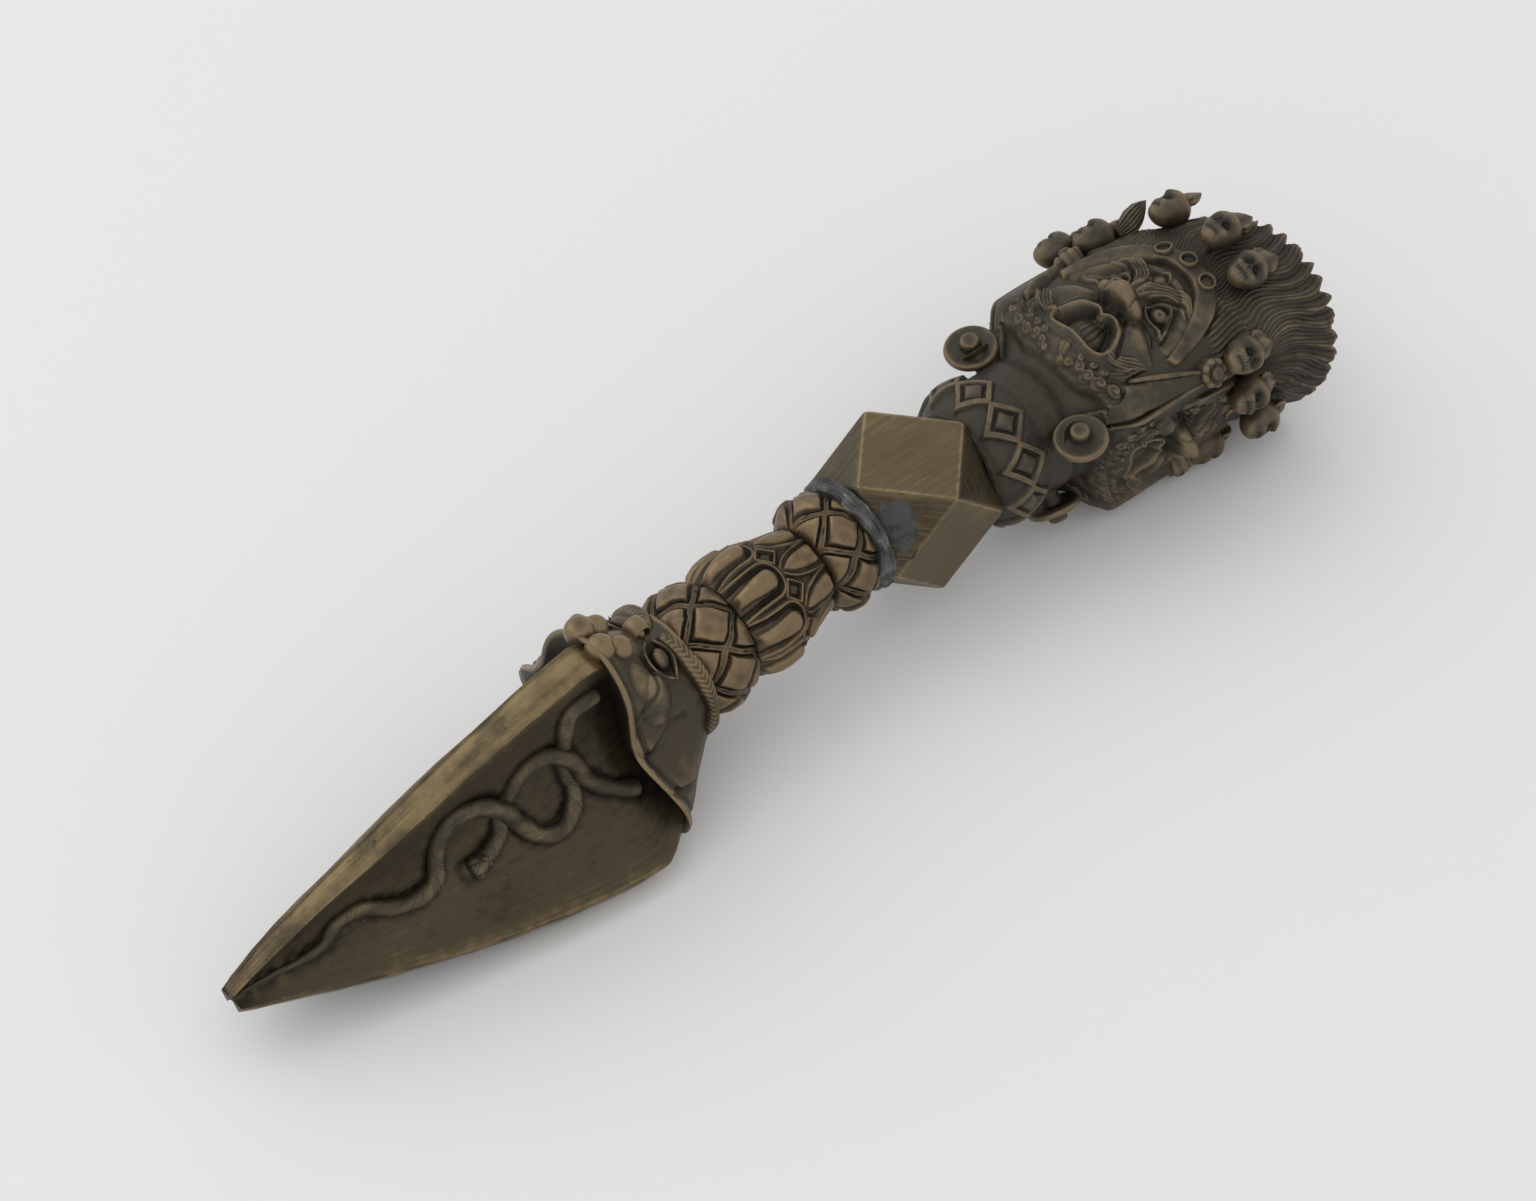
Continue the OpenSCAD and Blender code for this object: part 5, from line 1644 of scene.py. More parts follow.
class Face:
    """Relief of one wrathful face over (x, z): x millimetres round from its middle."""

    def __init__(self, x: Array, z: Array) -> None:
        """Carves every feature over this map."""
        self.r = Relief(x, z)
        self.forehead()
        self.eyes()
        self.nose()
        self.cheeks()
        self.mouth()
        self.beard()

    @staticmethod
    def both(method: Callable[..., None], path: Path, *args: object, **kwargs: object) -> None:
        """One stroke and its mirror image, with whatever else the method takes."""
        for s in (-1, 1):
            method([(s * px, pz) for px, pz in path], *args, **kwargs)

    def forehead(self) -> None:
        """Hairline under the band, brows that sweep up like flames, and the third eye."""
        r = self.r
        self.both(r.stroke, [(0, 74.9), (2.6, 74.5), (5.4, 73.0), (7.6, 70.2), (9.3, 66.2), (10.2, 62.8)],
                  [0.9, 1.1, 1.2, 1.0], [0.9, 1.1, 1.1, 0.7], hue=0.05, join=Join.HIGHER)
        self.both(r.stroke, [(0.8, 65.8), (1.5, 69.2), (3.2, 71.6), (6.0, 72.5), (8.2, 70.9)],
                  [0.5, 1.5, 1.9, 1.5, 0.3], [1.0, 1.9, 2.1, 1.7, 0.6], Section.LEAF, hue=0.25,
                  ribs=(0.62, 0.3, LENGTHWISE), steps=8)
        self.both(r.stroke, [(4.6, 70.2), (6.2, 70.7), (7.9, 69.6)], [0.2, 0.45, 0.2], 0.7, hue=0.3)
        third_eye = [(-1.2, 72.4), (-0.8, 74.0), (0, 74.8), (0.8, 74.0), (1.2, 72.4), (0.7, 71.0),
                     (0, 70.5), (-0.7, 71.0), (-1.2, 72.4)]
        r.stroke(third_eye, 0.35, 0.6)
        r.dome(0, 72.5, 0.9, 1.5, 1.1, hue=0.5)

    def eyes(self) -> None:
        """Bulging eyes between heavy lids that slant down to their outer corners."""
        r = self.r
        for s in (-1, 1):
            r.dome(s * 5.3, 66.9, 3.6, 3.0, -1.3, 1.2, hue=-0.4)
            r.dome(s * 5.1, 67.1, 1.65, 1.6, 2.2, 0.5, hue=0.8)
            r.dome(s * 5.1, 67.0, 0.4, 0.4, -0.3, 0.5, hue=-0.8)
        self.both(r.stroke, [(2.9, 65.9), (3.5, 68.6), (5.2, 69.6), (7.0, 67.4), (8.7, 63.2)],
                  [0.3, 0.5, 0.55, 0.5, 0.2], 1.0, hue=0.1)
        self.both(r.stroke, [(2.9, 65.7), (4.8, 64.8), (7.0, 64.5), (8.7, 62.9)], [0.3, 0.45, 0.5, 0.25], 1.0,
                  hue=0.35)
        self.both(r.stroke, [(2.3, 64.6), (4.6, 63.5), (7.2, 63.0), (9.0, 61.4)], 0.4, -0.5, Section.RIDGE,
                  hue=-0.4)

    def nose(self) -> None:
        """Short broad nose with flared wings, undercut below."""
        r = self.r
        under = smooth((r.y - 60.2) / 1.3)
        wide = np.clip(1 - (np.abs(r.x) / 4.6) ** 2.4 - ((r.y - 62.6) / 2.5) ** 2, 0, 1) ** 0.55
        r.add(3.9 * wide * under, hue=0.25)
        r.add((1.5 * bell(r.x, r.y, 0, 62.9, 1.9, 2.0) + 0.9 * bell(np.abs(r.x), r.y, 3.3, 62.5, 1.0, 1.2))
              * under)
        r.add(2.5 * bell(r.x, r.y, 0, 66.8, 1.5, 3.4))
        # painted highlight along the top edge of the nose and down its bridge
        r.hue = r.hue + 0.9 * bell(r.x, r.y, 0, 62.8, 4.4, 1.2) + 0.4 * bell(r.x, r.y, 0, 66, 0.8, 2.5)
        for s in (-1, 1):
            r.dome(s * 1.7, 60.9, 0.9, 0.6, -1.0, 0.7, hue=-0.8)
            r.stroke([(s * 2.2, 64.6), (s * 2.1, 63.2), (s * 2.5, 61.6)], 0.3, -0.45, Section.RIDGE, hue=-0.3)

    def cheeks(self) -> None:
        """Full cheeks that hang beside the nose and slope out, each over a fold."""
        r = self.r
        for s in (-1, 1):
            dx, dz = r.x * s - 6.5, r.y - 59.3
            along, across = 0.82 * dx - 0.57 * dz, 0.57 * dx + 0.82 * dz
            lump = np.exp(-((along / 4.0) ** 2) - (across / 2.3) ** 2) * smooth((2.6 - across) / 1.0)
            r.add(2.2 * lump * smooth((r.x * s - 2.5) / 2))
            # painted highlight along the upper side of each cheek
            r.hue = r.hue + 0.6 * np.exp(-(((along + 1.2) / 2.6) ** 2) - ((across - 0.5) / 1.1) ** 2)
        self.both(r.stroke, [(3.2, 60.6), (4.9, 58.2), (6.6, 55.6), (7.4, 53.8)], 0.45, -0.6, Section.RIDGE,
                  hue=-0.45)

    def mouth(self) -> None:
        """Open mouth with a ribbed tongue inside a thin raised rim and a soft lip."""
        r = self.r
        d = r.edge_distance(MOUTH)
        r.add(0.7 * smooth((d + 1.9) / 0.9))
        rim = hump(d, -0.3, 0.3)
        r.add(0.55 * rim - 0.25 * hump(d, -1.1, 0.3))
        # the rim is lighter; inside the mouth is painted shade
        r.hue = r.hue + 0.5 * rim - 0.45 * smooth(d / 0.6)
        r.add(-3.0 * smooth((d + 0.05) / 1.3))
        inside = smooth(d / 0.8)
        tongue = Relief(r.x, r.y)
        tongue.dome(0.2, 54.3, 4.4, 4.3, 2.3, 0.7)
        for off in (-2.2, -1.1, 0, 1.1, 2.2):
            tongue.stroke([(off * 0.8, 51.6), (off * 1.1, 54.2), (off * 0.7, 57.6)], 0.3, -0.5, Section.RIDGE)
        r.add(np.clip(tongue.height, 0, 2.8) * inside)
        r.hue = r.hue + 0.25 * smooth(tongue.height) * inside

    def beard(self) -> None:
        """Moustache leaves, a tuft on the chin and curls along the jaw."""
        r = self.r
        jaw = jaw_height(r.x)
        r.add(0.8 * smooth((r.y - jaw) / 0.9) * smooth((50.8 - r.y) / 2.5))
        self.both(r.stroke, [(5.9, 53.4), (8.2, 53.7), (11.0, 57.2)], [0.5, 1.7, 1.8, 0.2],
                  [0.8, 1.7, 1.5, 0.3], Section.LEAF, ribs=(0.6, 0.35, LENGTHWISE), steps=8, hue=0.15)
        self.both(r.stroke, [(10.3, 54.4), (9.9, 52.0), (8.6, 50.2)], [0.6, 1.2, 0.4], [1.0, 1.1, 0.4],
                  Section.LEAF, ribs=(0.6, 0.35, LENGTHWISE), steps=8)
        r.stroke([(0.4, 49.6), (0.7, 48.6), (1.3, 47.4)], [0.9, 1.2, 0.7], [0.5, 0.9, 0.4], Section.LEAF,
                 ribs=(0.5, 0.4, LENGTHWISE),
                 hue=0.3)
        for n, (x, z, size) in enumerate(CURLS):
            for s in (-1, 1):
                dx, dz = r.x - s * x, r.y - z
                q = np.hypot(dx, dz) / size
                if (q < 1).any():
                    r.dome(s * x, z, size, size, 0.95, 0.6, hue=0.05)
                    swirl = np.cos(2 * np.pi * 1.35 * q - s * np.arctan2(dz, dx) + n)
                    r.add(0.22 * swirl * smooth((1 - q) * 3))


def jaw_height(x: Array) -> Array:
    """Height of the jaw's edge, which rises a little to both sides."""
    return 45.0 + 1.8 * smooth((np.abs(x) - 6) / 6)


def front_map(angle: Array) -> Array:
    """Millimetres round from the front face's middle."""
    return (angle - 0.5) * HEAD_ARC


def side_map(angle: Array, s: int) -> Array:
    """Millimetres round on a side face, which is squeezed into a narrower sector."""
    return s * (np.abs(angle) - SIDE) * HEAD_ARC * FRONT_SPAN / SIDE_SPAN


class Side(Enum):
    """Which sector of the head."""

    FRONT = "front"
    RIGHT = "right"
    LEFT = "left"
    NAPE = "nape"


@dataclass
class Head(Piece):
    """Three faces and the nape, each a shell on the core."""

    sectors: tuple[tuple, ...] = (  # from angle, to angle, columns, rows, side, nodes
        (-EAR, EAR, 190, 252, Side.FRONT, ("face_front", "eyes_front")),
        (EAR, REAR, 150, 236, Side.RIGHT, ("face_right", "eyes_right")),
        (-REAR, -EAR, 150, 236, Side.LEFT, ("face_left", "eyes_left")),
        (REAR, 360 - REAR, 60, 120, Side.NAPE, ("nape",)))

    def build(self) -> None:
        """One shell for each sector."""
        for a, b, columns, rows, side, nodes in self.sectors:
            self.sector(a, b, columns, rows, side, nodes)

    @staticmethod
    def to_core(ring: Array) -> Array:
        """A ring of points drawn in to the surface of the rod inside.

        Args:
            ring: the points.

        Returns:
            The points on the rod.
        """
        inner = ring.copy()
        inner[:, :2] *= (CORE / np.hypot(ring[:, 0], ring[:, 1]))[:, None]
        return inner

    def sector(self, a: float, b: float, columns: int, rows: int, side: Side, nodes: Sequence[str]) -> None:
        """One shell, closed through the core.

        Args:
            a, b: angles it starts and ends at.
            columns, rows: size of its grid.
            side: which sector it is.
            nodes: CAD nodes it stands for, its own first.
        """
        angle = np.linspace(a, b, columns)[None, :]
        z = np.linspace(Z_FACE, Z_HAIR, rows)[:, None]
        height, hue = head_relief(angle, z, side)
        r = head_base(angle, z) + height
        outer = polar(np.maximum(r, CORE + 0.3), angle, z)
        body = Body(HEAD)
        body.grid(outer, hue=hue)
        for edge in (0, -1):
            ring = outer[:, edge]
            out = polar(1.0, a - 90 if edge == 0 else b + 90, 0.0)
            body.grid(np.stack([self.to_core(ring), ring], 1), hue=-0.8, outward=out)
        for edge, up in ((0, -1.0), (-1, 1.0)):
            ring = outer[edge]
            body.grid(np.stack([self.to_core(ring), ring], 0), hue=-0.8, outward=np.array([0, 0, up]))
        body.finish(nodes[0] + "_casting", HEAD_BRASS, nodes)


def head_relief(angle: Array, z: Array, side: Side) -> Pair:
    """Carving of one sector: strands on the nape, or a face that fades into grooved hair above it.

    Args:
        angle, z: place on the head.
        side: which sector.

    Returns:
        Height over the head's base, and patina with the face's painted shade and highlights.
    """
    angle, z = np.broadcast_arrays(angle, z)
    if side is Side.NAPE:
        x = angle * HEAD_ARC
        strands = 0.25 * np.cos(2 * np.pi * (x / 0.9 + 0.25 * np.sin(z * 0.3)))
        return 0.4 + strands * smooth((z - 46) / 4), -0.3 + 0.3 * strands
    if side is Side.FRONT:
        x, off = front_map(angle), np.abs(angle)
    else:
        x = side_map(angle, 1 if side is Side.RIGHT else -1)
        off = np.abs(np.abs(angle) - SIDE) * FRONT_SPAN / SIDE_SPAN
    face = Face(x, z).r
    keep = smooth((56 - off) / 8)
    neck = smooth((z - jaw_height(x) + 0.4) / 0.9)
    height = face.height * keep * neck - 0.5 * (1 - neck) * smooth((z - 40) / 3)
    hue = face.hue * keep - 0.25 * smooth((46 - z) / 3) - 0.3 * smooth((off - 46) / 8)
    grooves = smooth((z - 77.5 + 7.0 * smooth((off - 34) / 12)) / 1.5)
    wave = 0.5 * np.sin(z * 0.45 + angle * 0.08)
    strand = np.cos(2 * np.pi * (angle * HEAD_ARC / 0.8 + wave))
    under = smooth((z - 79.4) / 1.2)
    height = height * (1 - grooves) + grooves * (0.6 + 0.22 * strand - 1.2 * under)
    height = height + 0.04 * ripple(angle * 0.26, z, 3, 9)
    return height, hue * (1 - grooves) + grooves * (-0.25 + 0.2 * strand)


def lobe_radius(angle: Value, z: Value) -> Array:
    """Radius of the outer face of a lobe: close to the neck behind the disc, then out to the ear."""
    out = np.interp((np.asarray(z, float) - Z_DISC) / 10, [0, 0.49, 0.6, 1.5], [12.0, 12.1, 16.6, 20.2])
    return np.maximum(head_base(angle, z) + 0.3, out)


@dataclass
class Ears(Piece):
    """Long lobes that hang from the ears to the earrings, with a raised rim on both sides."""

    places: Path = ((EAR, 1), (-EAR, -1), (REAR, -1), (-REAR, 1))
    strap: Path = ((-3, 43), (-4.5, 47), (-7.5, 51.5), (-5.5, 56), (-2, 62), (1, 68))
    rims: tuple[Path, ...] = (
        ((2.5, 45.5), (3.0, 50), (2.6, 56), (2.2, 62), (2.8, 66.5)),
        ((-17, 52.5), (-14.5, 55), (-10.5, 59), (-6.5, 63), (-2.5, 66.5)))
    steps: int = 26

    def build(self) -> None:
        """A strap and two rims laid over each lobe's radius."""
        body = Body(HEAD)
        for middle, s in self.places:
            path = [(middle + s * da, z) for da, z in self.strap]
            strap, lift = over(lobe_radius, path, [2.1, 2.4, 3.1, 2.8, 1.9, 1.2],
                               [0.9, 1.0, 1.1, 1.1, 1.1, 1.0], self.steps, 31, crown=0.2, sink=1.2)
            body.grid(strap, hue=-0.2 + 0.15 * lift)
            for rim_points in self.rims:
                path = [(middle + s * da, z) for da, z in rim_points]
                rim, lift = over(lobe_radius, path, [0.5, 0.65, 0.7, 0.6, 0.4],
                                 [1.3, 1.5, 1.6, 1.5, 1.3], self.steps, 17, crown=0.8, sink=1.0)
                body.grid(rim, hue=0.2 * lift)
        body.finish("ear_lobes_casting", HEAD_BRASS, ["ear_lobes"])


def turned(body: Body, centre: Array, axis: Array, up: Array, profile: Path, columns: int = 72,
           petals: int = 0, depth: float = 0.0, hue: float = 0.0) -> None:
    """Shape turned about an axis.

    Args:
        body: mesh it joins.
        centre: foot of the axis.
        axis: its direction.
        up: a direction across it.
        profile: (height, radius) points from rim to middle, joined with a curve of straight steps.
        columns: steps round it.
        petals: number of lobes round it.
        depth: how deep the notches between lobes are.
        hue: its patina.
    """
    p = np.asarray(profile, float)
    length = run_along(p)
    at = np.linspace(0, length[-1], 64)
    h, rad = np.interp(at, length, p[:, 0])[:, None], np.interp(at, length, p[:, 1])[:, None]
    spin = full_turn(columns, 2 * np.pi)
    if petals:
        notch = depth * (1 - np.abs(np.cos(petals * spin / 2))) * smooth((rad - 1.3) / 0.8)
        h = h - notch
        rad = rad * (1 - 0.25 * notch / max(depth, 1e-3) * depth)
    axis, up = np.asarray(axis, float), np.asarray(up, float)
    other = np.cross(axis, up)
    points = centre + axis * h[..., None] + up * (rad * np.cos(spin))[..., None]
    points = points + other * (rad * np.sin(spin))[..., None]
    body.closed(points, hue=hue, outward=points - (centre - axis * 2))


def directions(angle: float) -> tuple[Array, Array, Array]:
    """Outward, sideways and upward unit vectors at an angle round the head."""
    c, s = math.cos(angle * DEG), math.sin(angle * DEG)
    return np.array([c, s, 0]), np.array([-s, c, 0]), np.array([0, 0, 1.0])


@dataclass
class Earrings(Piece):
    """Four discs, each with a boss, on stems from the neck."""

    places: tuple[tuple[str, float], ...] = (
        ("earring_front_right", EAR), ("earring_front_left", -EAR), ("earring_rear_right", REAR),
        ("earring_rear_left", -REAR))
    profile: Path = (
        (-1.45, 0.05), (-1.45, 4.3), (-1.15, 4.9), (-0.65, 5.05), (-0.15, 4.85), (0.05, 4.5),
        (0.0, 3.9), (-0.12, 3.0), (-0.1, 2.05), (0.1, 1.95), (1.5, 1.8), (1.95, 1.6), (2.05, 1.2),
        (2.0, 0.05))
    stem: Path = ((-2.2, 1.7), (-0.6, 1.75), (0.6, 2.1), (1.5, 3.0), (1.6, 0.05))
    stem_reach: float = 14.4
    flared: float = 57.0  # degrees from the front to a front disc

    def build(self) -> None:
        """A turned disc and its stem in each place."""
        for name, angle in self.places:
            out, _, up = directions(angle)
            body = Body(HEAD)
            if abs(angle) == EAR:
                foot = polar(self.stem_reach, math.copysign(self.flared, angle), Z_DISC)
                turned(body, foot, out, up, self.stem, columns=40, hue=-0.3)
                out, up, centre = self.faced(math.copysign(1, angle))
            else:
                centre = out * DISC_REACH + up * Z_DISC
                turned(body, out * self.stem_reach + up * Z_DISC, out, up, self.stem, columns=40, hue=-0.3)
            turned(body, centre, out, up, self.profile, columns=96)
            body.finish(name + "_casting", HEAD_BRASS, [name])

    def faced(self, s: float) -> tuple[Array, Array, Array]:
        """Where a front disc looks: the way the face does, leaned 12 degrees.

        Args:
            s: 1 for the right one, -1 for the left.

        Returns:
            Its outward and upward directions, and its middle.
        """
        lean, splay = 12 * DEG, 2 * DEG * s
        c, d = math.cos(splay), math.sin(splay)
        out = np.array([math.cos(lean) * c, math.cos(lean) * d, -math.sin(lean)])
        up = np.array([math.sin(lean) * c, math.sin(lean) * d, math.cos(lean)])
        return out, up, polar(17.2, s * self.flared, Z_DISC)


def band_height(offset: float, reach: float) -> float:
    """Height of a band's middle, which falls by a power of the degrees from its face's middle."""
    if reach > WIDE_BAND:
        return Z_BAND + 1.0 - 14.0 * (abs(offset) / reach) ** 3.3
    return Z_BAND - 10.9 * (abs(offset) / reach) ** 2.4


@dataclass
class Bands(Piece):
    """Diadem band over each forehead, with cups and rosettes."""

    places: tuple[tuple[str, float, float], ...] = (  # name, middle and reach in degrees
        ("band_front", 0.0, 43.5), ("band_right", SIDE, 23.5), ("band_left", -SIDE, 23.5),
        ("band_rear", 180.0, 19.0))
    overhang: float = 1.07  # how far a band runs past its reach
    columns: int = 31
    cup: Path = (
        (-1, 1.75), (1.0, 1.8), (1.35, 1.65), (1.4, 1.4), (1.15, 1.2), (0.6, 1.0), (0.35, 0.6), (0.3, 0.05))
    cup_place: float = 0.42  # of the reach, to both sides
    rosette: Path = (
        (-2, 2.7), (0.5, 2.8), (1.0, 2.5), (1.2, 2.1), (1.0, 1.5), (0.95, 1.3), (1.5, 1.2), (1.9, 0.8),
        (2.0, 0.05))
    rosette_reach: float = 21.9
    rosette_petals: int = 8

    def build(self) -> None:
        """A flat strip over each forehead, then cups on three of them and a rosette over each ear."""
        for name, middle, reach in self.places:
            ends = self.overhang * reach
            path = [(middle + d, band_height(d, reach)) for d in np.linspace(-ends, ends, 17)]
            body = Body(HEAD)
            points, _ = over(head_base, path, [0.9, 1.7] + [2.1] * 11 + [1.7, 0.9],
                             [0.9, 1.5] + [1.75] * 11 + [1.5, 0.9], steps=18, columns=self.columns,
                             crown=0.1, sink=0.6)
            line = np.linspace(-1, 1, self.columns)[None, :]
            uneven = ripple(np.linspace(0, 30, len(points))[:, None], line, 6, 3)
            tone = 0.1 + 0.2 * np.abs(line) ** 3 + 0.25 * uneven
            body.grid(points, hue=tone)
            body.finish(name + "_casting", HEAD_BRASS, [name])
        cups = Body(HEAD)
        for name, middle, reach in self.places[:3]:
            for k in (-1, 0, 1):
                d = k * self.cup_place * reach
                z = band_height(d, reach) + 0.4
                out, _, up = directions(middle + d)
                foot = out * (float(head_base(middle + d, z)) + 1.2) + up * z
                turned(cups, foot, out, up, self.cup, columns=48, hue=0.1)
        cups.finish("band_cups_casting", HEAD_BRASS, ["band_cups"])
        rosettes = Body(HEAD)
        for angle in (EAR, -EAR, REAR, -REAR):
            out, _, up = directions(angle)
            turned(rosettes, out * self.rosette_reach + up * Z_EAR_TOP, out, up, self.rosette,
                   columns=96, petals=self.rosette_petals, depth=0.35, hue=0.15)
        rosettes.finish("rosettes_casting", HEAD_BRASS, ["rosettes"])


@dataclass
class Skulls(Piece):
    """Crown of skulls, each with sockets, nose, teeth and a flame on top."""

    groups: tuple[tuple[str, Path], ...] = (  # name, then angle, height and reach of each skull
        ("skulls_front", ((-45, 89.04, 20.0), (0, 87.5, 20.0), (26.4, 85.74, 20.0))),
        ("skulls_right", ((60, 75.4, 22.4), (89.05, 77.6, 20.0), (118.1, 82.66, 21.4))),
        ("skulls_left", ((-60, 75.4, 22.4), (-72.45, 70.4, 25.2), (-118.1, 82.66, 21.4))),
        ("skulls_rear", ((REAR, 75.4, 21.2), (-REAR, 75.4, 21.2))),
    )
    radius: float = 3.45
    far: float = 24.0  # a skull that reaches further stands on a stalk
    stalk: Path = ((-5.5, 2.4), (-3.5, 2.0), (-1.5, 2.0), (-1.4, 0.05))

    def build(self) -> None:
        """The skulls of each group."""
        for name, places in self.groups:
            body = Body(HEAD)
            for angle, z, reach in places:
                self.skull(body, angle, z, reach)
                if reach > self.far:
                    out, _, up = directions(angle)
                    turned(body, out * reach + up * z, out, up, self.stalk, columns=40, hue=-0.4)
            body.finish(name + "_casting", HEAD_BRASS, [name])

    def skull(self, body: Body, angle: float, z: float, reach: float) -> None:
        """One skull, a ball pushed in and out along its own directions by Gauss bells.

        Args:
            body: mesh it joins.
            angle, z, reach: angle, height and distance from the axis of its middle.
        """
        out, side, up = directions(angle)
        pole = np.linspace(0.02, np.pi * 0.96, 66)[:, None]
        spin = full_turn(96, 2 * np.pi)
        dx, dy = np.sin(pole) * np.cos(spin), np.sin(pole) * np.sin(spin)
        dz = np.cos(pole) + 0 * spin
        r = self.radius + 0.25 * smooth(dy * 2)
        r = r + 1.2 * np.exp(-((dx / 0.6) ** 2) - ((dy + 0.95) / 0.4) ** 2 - ((dz - 0.25) / 0.7) ** 2)
        front = smooth(dz * 3)
        sockets = sum(np.exp(-((np.hypot(dx - s * 0.4, dy + 0.03) / 0.34) ** 3)) for s in (-1, 1)) * front
        nose = bell(dx, dy, 0, -0.36, 0.1, 0.13) * front
        brow = sum(bell(dx, dy, s * 0.36, 0.3, 0.3, 0.12) for s in (-1, 1)) * front
        cheek = sum(bell(dx, dy, s * 0.55, -0.42, 0.17, 0.14) for s in (-1, 1)) * front
        grin = hump(dy, -0.72, 0.05) * smooth((0.5 - np.abs(dx)) / 0.15) * front
        teeth = smooth((0.2 - np.abs(dy + 0.72)) / 0.07) * smooth((0.42 - np.abs(dx)) / 0.1) * front
        r = r - 1.5 * sockets - 0.55 * nose + 0.25 * brow + 0.3 * cheek - 0.3 * grin
        r = r - 0.16 * teeth * (0.5 + 0.5 * np.cos(dx * 34))
        # the upper front of each skull is a painted highlight; sockets, nose and grin darker, brows and
        # cheeks lighter
        hue = (0.35 * smooth(dy + 0.3) * smooth(dz) - 0.2 - 1.3 * sockets - 0.7 * nose - 0.6 * grin
               + 0.3 * cheek + 0.35 * brow)
        d = out * dz[..., None] + side * dx[..., None] + up * dy[..., None]
        body.closed(out * reach + up * z + d * r[..., None], hue=hue, outward=d)
        self.flame(body, out * (reach - 0.2) + up * (z + 2.7), out, side, up)

    @staticmethod
    def flame(body: Body, foot: Array, out: Array, side: Array, up: Array) -> None:
        """Tongue of flame, its section a fluted ellipse, with a bent tip.

        Args:
            body: mesh it joins.
            foot: where it stands.
            out, side, up: its directions.
        """
        s = np.linspace(0, 1, 30)[:, None]
        spin = full_turn(40, 2 * np.pi)
        wide = np.interp(s, [0, 0.25, 0.5, 0.8, 1], [1.5, 2.1, 1.8, 0.9, 0.06])
        flute = 1 - 0.22 * (0.5 + 0.5 * np.cos(5 * spin))
        x, y = wide * 1.5 * np.cos(spin) * flute, wide * 0.75 * np.sin(spin) * flute
        bend = 0.7 * s * s
        points = foot + up * (4.4 * s)[..., None] + side * (x + bend)[..., None] + out * y[..., None]
        hue = -0.1 + 0.5 * s - 0.4 * (1 - flute)
        body.closed(points, hue=hue, outward=points - points.mean(1, keepdims=True))


